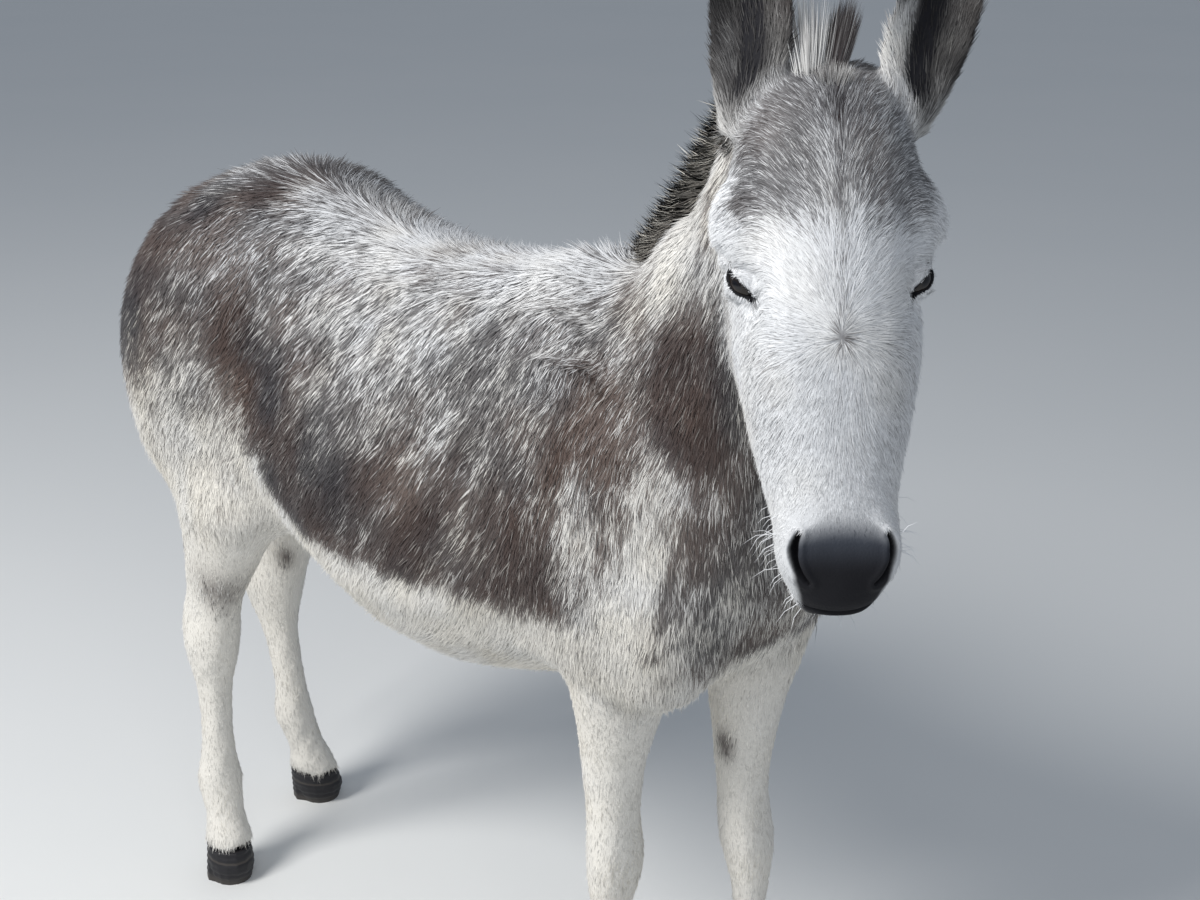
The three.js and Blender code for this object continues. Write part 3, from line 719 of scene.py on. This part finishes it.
COOL, CREAM = np.array((0.84, 0.855, 0.88)), np.array((0.87, 0.82, 0.72))
CHARCOAL, BROWN = np.array((0.036, 0.032, 0.036)), np.array((0.095, 0.060, 0.047))
SLATE, BLACK = np.array((0.050, 0.057, 0.073)), np.array((0.008, 0.008, 0.010))


def hair_colour(dark, warm, cream):
    """The colour of hairs, from how dark each is."""
    pale = COOL + (CREAM - COOL) * cream[:, None]
    deep = CHARCOAL + (BROWN - CHARCOAL) * warm[:, None]
    return pale + (deep - pale) * dark[:, None]


def paint(made, colours):
    layer = made.data.color_attributes.new("coat", "FLOAT_COLOR", "POINT")
    rgba = np.ones((len(colours), 4), dtype=np.float32)
    rgba[:, :3] = colours
    layer.data.foreach_set("color", rgba.ravel())


# Painted shade between the locks: the hide is coloured like the hair over it but darker, most of all on the
# ears.
shade_under_hair = 0.58 + 0.12 * part["head"] + 0.26 * part["legs"] - 0.25 * part["ears"]
hide_colour = hair_colour(dark, warm, cream) * shade_under_hair[:, None]
pad_colour = SLATE + (BLACK * 1.2 - SLATE) * fall(0.402, 0.450, q[:, 2])[:, None]
hide_colour = blend(pad, hide_colour, pad_colour)
hide_colour = blend(ear_pit, hide_colour, BLACK * 1.5)
blackened = np.maximum.reduce((nostril_hole, lid_rim, lip * 0.8, 0.8 * fall(0.0022, 0.0006, tear)))
hide_colour = blend(blackened, hide_colour, BLACK)

fur_on_hide = Finish("short_undercoat", Roughness=0.7, Specular_IOR_Level=0.14)
tone = fur_on_hide.node("ShaderNodeAttribute", {"attribute_name": "coat"})
where = fur_on_hide.node("ShaderNodeTexCoord", output=3)
grain = fur_on_hide.node("ShaderNodeTexNoise", None, {"Vector": where, "Scale": 420.0, "Detail": 3.0})
bump = fur_on_hide.node("ShaderNodeBump", None, {"Strength": 0.35, "Distance": 0.0015, "Height": grain})
fur_on_hide.feed("Base Color", tone).feed("Normal", bump)
hide_object = object_of("skin", skin, hide)
paint(hide_object, hide_colour)
hide_object.data.materials.append(fur_on_hide.material)
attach(hide_object, "root")
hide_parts(*FLESH)

# ---- Eyes ---------------------------------------------------------------------------------------------
# A wet dark ball under each pair of lids, with a brown iris, a wide low pupil and a clear bulge in front.
IRIS_REACH, PUPIL_WIDE, PUPIL_TALL, EYE_BULGE = 0.0125, 0.0062, 0.0030, 0.0009
BALL_COLOUR, IRIS_COLOUR = np.array((0.006, 0.005, 0.005)), np.array((0.007, 0.004, 0.002))
PUPIL_COLOUR = np.array((0.004, 0.004, 0.006))


def ball(radius, rings, sides):
    """A sphere about the origin with its poles closed, its first pole along +Z."""
    points, turn = [(0, 0, radius)], 2 * np.pi * np.arange(sides) / sides
    for a in np.pi * np.arange(1, rings) / rings:
        ring = (np.sin(a) * np.cos(turn), np.sin(a) * np.sin(turn), np.full(sides, np.cos(a)))
        points += (radius * np.stack(ring, axis=1)).tolist()
    points.append((0, 0, -radius))
    faces = []
    for j in range(sides):
        n = (j + 1) % sides
        faces.append((0, 1 + j, 1 + n))
        for k in range(rings - 2):
            a, b = 1 + k * sides, 1 + (k + 1) * sides
            faces += [(a + j, b + j, b + n), (a + j, b + n, a + n)]
        last = 1 + (rings - 2) * sides
        faces.append((last + j, len(points) - 1, last + n))
    return np.array(points), np.array(faces)


wet = Finish("wet_eye", Roughness=0.12, Specular_IOR_Level=0.25, Coat_Weight=0.35, Coat_Roughness=0.03)
wet.feed("Base Color", wet.node("ShaderNodeAttribute", {"attribute_name": "coat"}))
for side_name, s in (("right", -1), ("left", 1)):
    out, along, _ = eye_axes(s)
    p, t = ball(EYE_RADIUS, 40, 56)
    bulge = EYE_BULGE * fall(0.86, 0.98, p[:, 2] / EYE_RADIUS)
    p = p * (1 + bulge / EYE_RADIUS)[:, None]
    gaze = np.stack((along, np.cross(out, along), out), axis=1)
    eye = object_of(f"eyeball_{side_name}", eyes[side_name] + p @ gaze.T, t)
    flat = p[:, :2]
    off = np.linalg.norm(flat, axis=1)
    pupil = fall(1.15, 0.85, np.hypot(flat[:, 0] / PUPIL_WIDE, flat[:, 1] / PUPIL_TALL)) * (p[:, 2] > 0)
    iris = fall(IRIS_REACH, IRIS_REACH - 0.0015, off) * (p[:, 2] > 0)
    spokes = np.stack((np.arctan2(flat[:, 1], flat[:, 0]) * 6, off * 200, 0 * off), axis=1)
    streak = 0.5 + 0.5 * noise(spokes, 1.0, 8)
    tones = BALL_COLOUR + iris[:, None] * (IRIS_COLOUR * (0.5 + streak[:, None]))
    tones = tones * (1 - pupil[:, None]) + PUPIL_COLOUR * pupil[:, None]
    paint(eye, tones)
    eye.data.materials.append(wet.material)
    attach(eye, "root")
    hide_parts(f"eye_{side_name}")

# ---- Coat ---------------------------------------------------------------------------------------------
# Thousands of small pointed locks, each a closed sliver rooted just under the skin that lies along the body
# over the next one. They are longest on the back, flank and breast, and finest on the face and the feet.
LOCK_SINK, BAKE_PATCH = 0.0008, 0.003  # how deep a root is, and how wide a lock's patch of the unwrap is
coat = Finish("coat_hair", Roughness=0.6, Specular_IOR_Level=0.28, Sheen_Weight=0.05)
coat.feed("Base Color", coat.node("ShaderNodeAttribute", {"attribute_name": "coat"}))


def sleeve(p, axis_at, axis, start):
    """A place on the unwrap of a round part: once around it, and along it."""
    axis, start = np.asarray(axis, dtype=float), np.asarray(start, dtype=float)
    axis = unit(axis)
    start = unit(start - axis * (start @ axis))
    away = p - np.asarray(axis_at)
    turn = np.arctan2(away @ np.cross(axis, start), away @ start)
    return np.stack((turn / (2 * np.pi) + 0.5, away @ axis), axis=1)


def locks(name, roots, normals, lies, length, width, lift, colours, tips, unwrapped, bend=0.0):
    """One piece of coat: a sliver for each root, with a knee if it bends, coloured from root to tip and
    darker at the root, as painted shade deep in the coat.
    """
    n = len(roots)
    sideways = np.cross(normals, lies)
    lift = lift[:, None]
    first = lies * np.cos(lift) + normals * np.sin(lift)
    start = roots - normals * LOCK_SINK
    half, reach = width[:, None] / 2, length[:, None]
    ring = [start - sideways * half, start + sideways * half, start + normals * half * 1.1 - lies * half]
    # Each lock is darker towards its root, painted shade deep in the coat; the tip keeps its full colour.
    shade, facing = [0.86, 0.86, 0.92], [normals - sideways * 0.45, normals + sideways * 0.45, normals]
    corner = [(-0.5, -0.5), (0.5, -0.5), (0, -0.2)]
    if bend:
        second = lies * np.cos(lift - bend) + normals * np.sin(lift - bend)
        knee = start + first * reach * 0.5
        ring += [knee - sideways * half * 0.8, knee + sideways * half * 0.8, knee + normals * half * 0.8]
        ring += [knee + second * reach * 0.5]
        shade += [0.95, 0.95, 1.0]
        facing += facing
        corner += [(-0.4, 0.1), (0.4, 0.1), (0, 0.2)]
        faces = [(0, 2, 1)]
        for a, b in ((0, 1), (1, 2), (2, 0)):
            faces += [(a, b, 3 + b), (a, 3 + b, 3 + a), (3 + a, 3 + b, 6)]
    else:
        ring += [start + first * reach]
        faces = [(0, 2, 1), (0, 1, 3), (1, 2, 3), (2, 0, 3)]
    shade += [1.0]
    facing += [normals + lies * 0.2]
    corner += [(0, 0.5)]
    size = len(ring)
    points = np.stack(ring, axis=1).reshape(-1, 3)
    faces = (np.array(faces)[None] + (np.arange(n) * size)[:, None, None]).reshape(-1, 3)
    a, b, c = (points[faces[: len(faces) // n, k]] for k in range(3))
    if (a * np.cross(b, c)).sum() - (roots[0] * np.cross(b - a, c - a).sum(axis=0)).sum() < 0:
        faces = faces[:, ::-1]
    made = object_of(name, points, faces)
    tones = np.repeat(colours[:, None, :], size, axis=1)
    tones[:, -1] = tips
    paint(made, np.clip(tones * np.array(shade)[None, :, None], 0, 1).reshape(-1, 3))
    made.data.normals_split_custom_set_from_vertices(unit(np.stack(facing, axis=1).reshape(-1, 3)))
    uv = made.data.uv_layers.new(name="OFBake")
    low, high = unwrapped.min(axis=0), unwrapped.max(axis=0)
    placed = BAKE_PATCH + (unwrapped - low) / np.maximum(high - low, 1e-6) * (1 - 2 * BAKE_PATCH)
    spread = (placed[:, None, :] + np.array(corner)[None] * BAKE_PATCH).reshape(-1, 2)
    uv.data.foreach_set("uv", spread[faces.ravel()].astype(np.float32).ravel())
    made.data.materials.append(coat.material)
    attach(made, "root")
    return made


def sown(points, triangles, count, weight, seed):
    """Roots spread evenly over a mesh by a weight at each point, and what the mesh carries at them."""
    rng = np.random.default_rng(seed)
    a, b, c = (points[triangles[:, k]] for k in range(3))
    area = np.linalg.norm(np.cross(b - a, c - a), axis=1) * weight[triangles].mean(axis=1)
    total = np.cumsum(area)
    pick = (np.arange(count) + rng.random(count)) / count * total[-1]
    chosen = triangles[np.searchsorted(total, pick).clip(0, len(triangles) - 1)]
    u, v = rng.random(count), rng.random(count)
    over = u + v > 1
    u[over], v[over] = 1 - u[over], 1 - v[over]
    mix = np.stack((1 - u - v, u, v), axis=1)

    def carried(values):
        return np.einsum("nk,nk...->n...", mix, values[chosen])

    return rng, carried


def swung(directions, axes, angles):
    """The directions turned about axes at right angles to them."""
    return directions * np.cos(angles)[:, None] + np.cross(axes, directions) * np.sin(angles)[:, None]


def varied(value, share, rng, count, least=0.5, most=1.6):
    """A measure that differs from hair to hair by a share of itself."""
    return value * (1 + share * rng.standard_normal(count)).clip(least, most)


low_on_face = fall(0.30, 0.42, q[:, 2])
dock_hair = 0.018 + 0.036 * fall(DOCK_LOW + 0.07, DOCK_LOW + 0.01, z)
HAIR_LENGTH = {
    "trunk": 0.0175 + 0.006 * topside,
    "neck": 0.0185,
    "legs": 0.009 + 0.007 * fall(0.085, 0.055, z) + 0.008 * fall(0.56, 0.63, z),
    "tail_dock": dock_hair * (1 - 0.8 * fall(-0.35, -0.7, turned_up)),
    "head": 0.0125 - 0.007 * low_on_face,
    "ears": 0.009 + 0.007 * ear_inside,
}
HAIR_WIDTH = {
    "trunk": 0.00165,
    "neck": 0.00165,
    "legs": 0.0013,
    "tail_dock": 0.002,
    "head": 0.0012 - 0.0004 * low_on_face,
    "ears": 0.0012,
}
HAIR_LIFT = {"trunk": 12 * topside, "tail_dock": -9, "neck": 2, "head": -3, "legs": -5}  # degrees past 15
hair_length = sum(part[name] * value for name, value in HAIR_LENGTH.items())
hair_width = sum(part[name] * value for name, value in HAIR_WIDTH.items())
hair_lift = 15 + 4 * ear_inside + sum(part[name] * value for name, value in HAIR_LIFT.items())
hair_lift = np.radians(hair_lift)
bare_places = (
    fall(0.0012, 0.0004, lid_gap),
    fall(0.0035, 0.001, nostril_gap),
    fall(0.002, 0.0, mouth_gap),
    fall(0.0022, 0.0010, tear),
    pad * 1.15,
    ear_pit * 0.9,
)
furred = np.clip(1 - np.maximum.reduce(bare_places), 0, 1)

# Round the eyes the hair is shorter and lies away from the lids.
close_eye = fall(0.016, 0.002, lid_gap)
hair_length = hair_length * (1 - 0.52 * close_eye)
hair_lift = hair_lift * (1 - 0.3 * close_eye)
from_lid = np.clip(lid_gap, -0.002, 0.03)
steps = (skin[web.b] - skin[web.a]) * (from_lid[web.b] - from_lid[web.a])[:, None]
slope = np.stack([np.bincount(web.a, step, len(skin)) for step in steps.T], axis=1)
slope = on_skin(web.even(on_skin(slope, skin_normals), 4), skin_normals)
lie = on_skin(blend(close_eye * 0.6, lie, slope), skin_normals)

speckled = part["head"] * fall(0.33, 0.37, q[:, 2]) * fall(0.440, 0.415, q[:, 2])
speckled = speckled * fall(0.034, 0.016, np.abs(q[:, 0] - 0.004))
SALT = 0.22  # how softly dark and pale hairs part: 0 leaves only the two
body = part["trunk"] + part["neck"] + part["tail_dock"]
PIECES = {  # how many locks each piece has, and where
    "coat_haunch_right": (36000, body * (x < 0) * (y > 0.18)),
    "coat_flank_right": (40000, body * (x < 0) * (y > -0.22) * (y <= 0.18)),
    "coat_flank_left": (46000, body * (x >= 0) * (y > -0.22)),
    "coat_front_right": (46000, body * (x < 0) * (y <= -0.22)),
    "coat_front_left": (38000, body * (x >= 0) * (y <= -0.22)),
    "coat_hindlegs": (28000, part["legs"] * (y > 0)),
    "coat_forelegs": (25000, part["legs"] * (y <= 0)),
    "coat_face_right": (47000, part["head"] * (q[:, 0] < 0)),
    "coat_face_left": (44000, part["head"] * (q[:, 0] >= 0)),
    "coat_ears": (20000, part["ears"]),
}
BODY_MIDDLE = (0, 0, 0.88)
LAID_ON = {  # where the unwrap of a kind of piece stands: a place on its axis, the axis, and its middle line
    "face": (HEAD_CENTRE, HEAD[:, 2], HEAD[:, 1]),
    "ears": (HEAD_CENTRE, (0, 0, 1), HEAD[:, 1]),
    "legs": (BODY_MIDDLE, (0, 0, 1), (1, 0, 0)),
    "body": (BODY_MIDDLE, (0, 1, 0), (0, 0, 1)),
}
QUICK_SHARE = 1
for seed, (name, (count, weight)) in enumerate(PIECES.items()):
    count = count // QUICK_SHARE
    rng, at = sown(skin, hide, count, weight * furred, seed + 1)
    root, normal = at(skin), unit(at(skin_normals))
    grain = on_skin(at(lie), normal)
    length, width, lift = at(hair_length), at(hair_width), at(hair_lift)
    turn = 13 * noise(root, 0.013, 11) + 8 * noise(root, 0.05, 12) + 7 * rng.standard_normal(count)
    flow = swung(grain, normal, np.radians(turn))
    lift = lift + np.radians(5 * noise(root, 0.011, 13) + 4 * rng.standard_normal(count))
    length = varied(length, 0.22, rng, count)
    width = varied(width, 0.18, rng, count)
    # streaks of darker and paler hairs, drawn out along the lie
    slide = root - grain * ((root * grain).sum(axis=1, keepdims=True)) * 0.78
    d = at(dark)
    streak = 0.9 * noise(slide, 0.0065, 14) + 0.7 * noise(slide, 0.016, 15) + 0.35 * noise(root, 0.05, 16)
    chance = 0.5 + 0.34 * streak + 0.22 * rng.standard_normal(count)
    salted = fall(-SALT, SALT, d - np.clip(chance, 0.06, 0.94)) * 0.9 + 0.1 * d
    d = d + 0.7 * at(speckled) * fall(0.30, 0.55, noise(root, 0.0035, 19))
    d = d + (salted - d) * (0.85 - 0.10 * at(part["head"]) - 0.45 * at(part["ears"]))
    brown = at(warm) + 0.5 * noise(root, 0.05, 17)
    creamy = at(cream) + 0.25 * noise(root, 0.04, 18)
    tones = hair_colour(np.clip(d, 0, 1), np.clip(brown, 0, 1), np.clip(creamy, 0, 1))
    tones = tones * (1 + 0.08 * rng.standard_normal(count))[:, None]
    tones = blend(np.clip(at(pad) * 1.5, 0, 1), tones, SLATE)
    # Painted shade over the ears: their darker hairs are darkened further still.
    tones = tones * (1 - 0.78 * at(part["ears"] * dark))[:, None]
    pale_tip = 0.30 * at(body) * (1 - 0.75 * at(dark)) + 0.45 * at(part["head"])
    tips = blend(pale_tip * rng.random(count) ** 2, tones, COOL * 0.95)
    kind = next((kind for kind in LAID_ON if kind in name), "body")
    unwrapped = sleeve(root, *LAID_ON[kind])
    locks(name, root, normal, flow, length, width, lift, tones, tips, unwrapped)


# ---- Mane, forelock and tail --------------------------------------------------------------------------
# Longer coarse hair: a short upright mane on the crest, a forelock of pale wisps beside a dark tuft, and the
# tail's switch. Mane and switch grow from a slim core drawn in from their own solid.
NECK_UP = heading(np.radians(19.0), np.radians(58.3))[:, 1]
hair_core = Finish("hair_core", Roughness=0.8)
core_place = hair_core.node("ShaderNodeTexCoord", output=3)
core_grain = hair_core.node("ShaderNodeTexNoise", None, {"Vector": core_place, "Scale": 260.0})
hair_core.feed("Base Color", hair_core.mix(core_grain, (0.030, 0.026, 0.026, 1), (0.075, 0.062, 0.056, 1)))


def evened(node, name, grid):
    """A node's solid as an even mesh, with the web of its edges."""
    p, t = soup(node)
    for _ in range(3):
        p, t = halved(p, t)
    p, t = melted(name, [(p, t)], grid)
    return p, t, Web(t, len(p))


def thatch(node, piece, slimmer, count, lies, length, width, lift, bend, colours, seed, aside=(0, 0, 0)):
    """A core drawn in from a solid's surface and set a little aside, and bent locks all over it."""
    p, t, net = evened(node, piece, 0.0035)
    p = net.even(p, 10, KEEP_SIZE)
    p = p - net.even(normals_of(p, t), 4) * slimmer + aside
    p = net.even(p, 4, KEEP_SIZE)
    core = object_of(f"{piece}_core", p, t)
    core.data.materials.append(hair_core.material)
    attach(core, "root")
    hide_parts(node)
    count = count // QUICK_SHARE
    rng, at = sown(p, t, count, np.ones(len(p)), seed)
    root, normal = at(p), unit(at(normals_of(p, t)))
    flow, normal = lies(normal, rng)
    tall = varied(length(root), 0.2, rng, count, 0.4, 1.7)
    tones = colours(root, rng)
    wide = varied(width, 0.2, rng, count, 0.4, 1.7)
    raised = np.radians(varied(lift, 0.3, rng, count, 0.4, 1.7))
    unwrapped = sleeve(root, p.mean(axis=0), (0, 0, 1), (1, 0, 0))
    made = locks(f"{piece}_hair", root, normal, flow, tall, wide, raised, tones, tones * 1.1, unwrapped,
                 bend=np.radians(bend))


def up_the_crest(normal, rng):
    flow = on_skin(unit(NECK_UP + normal * 0.15), normal)
    swing = np.radians(6) * rng.standard_normal(len(normal))
    return on_skin(swung(flow, normal, swing), normal), normal


def mane_length(root):
    return np.full(len(root), 0.034)


def mane_tones(root, rng):
    d = 0.27 + 0.34 * noise(root, 0.012, 31) + 0.22 * rng.standard_normal(len(root))
    return hair_colour(np.clip(d, 0, 1), np.full(len(root), 0.9), np.full(len(root), 0.8))


thatch("mane", "mane", 0.012, 9000, up_the_crest, mane_length, 0.0015, 10, 6, mane_tones, 51)
TAIL_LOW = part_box("tail_switch")[0][2]


def straight_down(normal, rng):
    """Down whatever the core does under it, fanned a little."""
    flow = unit(np.array((0, 0.05, -1.0)) + 0 * normal)
    flow = unit(flow + 0.03 * rng.standard_normal(flow.shape))
    return flow, on_skin(normal + 0.01 * rng.standard_normal(flow.shape), flow)


def switch_length(root):
    """As long as the hair above it can be without passing the switch's tip."""
    return np.minimum(0.075, np.maximum(0.02, root[:, 2] - TAIL_LOW + 0.004))


def switch_tones(root, rng):
    d = 0.72 + 0.25 * noise(root * (1, 1, 0.2), 0.010, 32) + 0.2 * rng.standard_normal(len(root))
    return hair_colour(np.clip(d, 0, 1), np.full(len(root), 0.35), np.full(len(root), 0.4))


thatch("tail_switch", "tail", 0.016, 6000, straight_down, switch_length, 0.0022, 3, 3, switch_tones, 52,
       aside=(0.008, -0.009, 0))

# The forelock: sheaves of single hairs fanned out from the poll.
FORELOCK = {  # root from the poll, way it leans, length, fan, hairs, darkness, how wide its root is
    "pale": ((-0.021, -0.034, 0.008), (-0.04, 0.0, -1.0), 0.135, 0.10, 240, 0.25, 0.011),
    "dark": ((-0.003, -0.036, 0.006), (0.24, -0.05, -1.0), 0.118, 0.068, 950, 1.0, 0.007),
    "nape": ((0.000, -0.030, 0.010), (0.04, 0.10, -1.0), 0.045, 0.30, 800, 0.66, 0.013),
}
rng = np.random.default_rng(61)
sheaf = []
for root_at, way, tall, fan, count, d, wide in FORELOCK.values():
    spin, off = 2 * np.pi * rng.random(count), np.sqrt(rng.random(count))
    disc = np.stack((np.cos(spin) * off, np.sin(spin) * off, 0 * off), axis=1)
    root = np.array(root_at) + disc * wide
    lean = unit(np.array(way) + disc * fan * 1.6 + fan * 0.5 * rng.standard_normal((count, 3)))
    d = np.clip(d + 0.16 * rng.standard_normal(count) - 0.45 * (rng.random(count) < 0.06), 0, 1)
    tall = tall * (1 - 0.35 * rng.random(count)) * (1 - 0.25 * off)
    sheaf.append((root, lean, tall, hair_colour(d, np.full(count, 0.2), np.full(count, 0.35))))
root, lean, tall, tones = (np.concatenate(column) for column in zip(*sheaf))
root, lean = POLL + root @ HEAD.T, lean @ HEAD.T
facing = on_skin(np.tile(HEAD[:, 1], (len(root), 1)), lean)
count = len(root)
wide, raised = np.full(count, 0.0010), np.full(count, 0.02)
unwrapped = sleeve(root, POLL, HEAD[:, 2], HEAD[:, 1])
forelock = locks("forelock_hair", root, facing, lean, tall, wide, raised, tones, tones, unwrapped,
                 bend=np.radians(9))
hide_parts("forelock")

# ---- Whiskers -----------------------------------------------------------------------------------------
# Long single hairs: pale feelers that stand out round the chin and lips and droop a little.
count = 90
chin = part["head"] * fall(0.36, 0.44, q[:, 2]) * fall(-0.02, -0.05, q[:, 1]) * furred
rng, at = sown(skin, hide, count, chin, 71)
root, normal = at(skin), unit(at(skin_normals))
hang = unit(normal + np.array((0, 0, -0.5)) + 0.35 * rng.standard_normal((count, 3)))
sideways = on_skin(np.tile((0.0, 0.0, 1.0), (count, 1)), hang)
tall = 0.016 + 0.022 * rng.random(count)
wide, raised = np.full(count, 0.0007), np.full(count, 0.25)
pale, paler = np.tile(COOL * 0.95, (count, 1)), np.tile(COOL, (count, 1))
unwrapped = sleeve(root, POLL, HEAD[:, 2], HEAD[:, 1])
feelers = locks("whiskers", root, sideways, hang, tall, wide, raised, pale, paler, unwrapped, bend=0.5)

# ---- Hooves -------------------------------------------------------------------------------------------
# Four small upright hooves of dark horn, ringed by their growth, flat and worn where they meet the ground.
horn = Finish("horn", Roughness=0.55, Specular_IOR_Level=0.4)
place = horn.node("ShaderNodeTexCoord", output=3)
grown = horn.node("ShaderNodeMapping", None, {"Vector": place, "Scale": (1.0, 1.0, 5.0)})
rings = horn.node("ShaderNodeTexNoise", None, {"Vector": grown, "Scale": 60.0, "Detail": 4.0})
fine = horn.node("ShaderNodeMapping", None, {"Vector": place, "Scale": (1.0, 1.0, 0.12)})
fibres = horn.node("ShaderNodeTexNoise", None, {"Vector": fine, "Scale": 500.0, "Detail": 2.0})
height = horn.node("ShaderNodeSeparateXYZ", None, {"Vector": place}, 2)
dusty = height.above(0.016, 0.002) * 0.6
shade = horn.mix(rings, (0.006, 0.006, 0.008, 1), (0.015, 0.014, 0.017, 1))
pale_band = height.above(0.0355, 0.0365) * height.above(0.0400, 0.0385)
shade = horn.mix(pale_band * 0.35, shade, (0.10, 0.085, 0.07, 1))
shade = horn.mix(dusty, shade, (0.07, 0.062, 0.054, 1))
ridges = rings + fibres * 0.5
horn_bump = horn.node("ShaderNodeBump", None, {"Strength": 0.5, "Distance": 0.001, "Height": ridges})
horn.feed("Base Color", shade).feed("Normal", horn_bump)
RING_DEPTH, RING_GAP = 0.0005, 0.0016
for node in ("forehoof_right", "forehoof_left", "hindhoof_right", "hindhoof_left"):
    p, t, net = evened(node, node, 0.0022)
    sole = p[:, 2] < 0.0016
    p = net.even(p, 9, KEEP_SIZE)
    n = net.even(normals_of(p, t), 2)
    p = p + n * (RING_DEPTH * np.sin(p[:, 2] / RING_GAP) * fall(0.004, 0.010, p[:, 2]))[:, None]
    p[sole | (p[:, 2] < 0), 2] = 0.0
    hoof = object_of(f"{node}_horn", p, t)
    hoof.data.materials.append(horn.material)
    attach(hoof, "root")
    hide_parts(node)
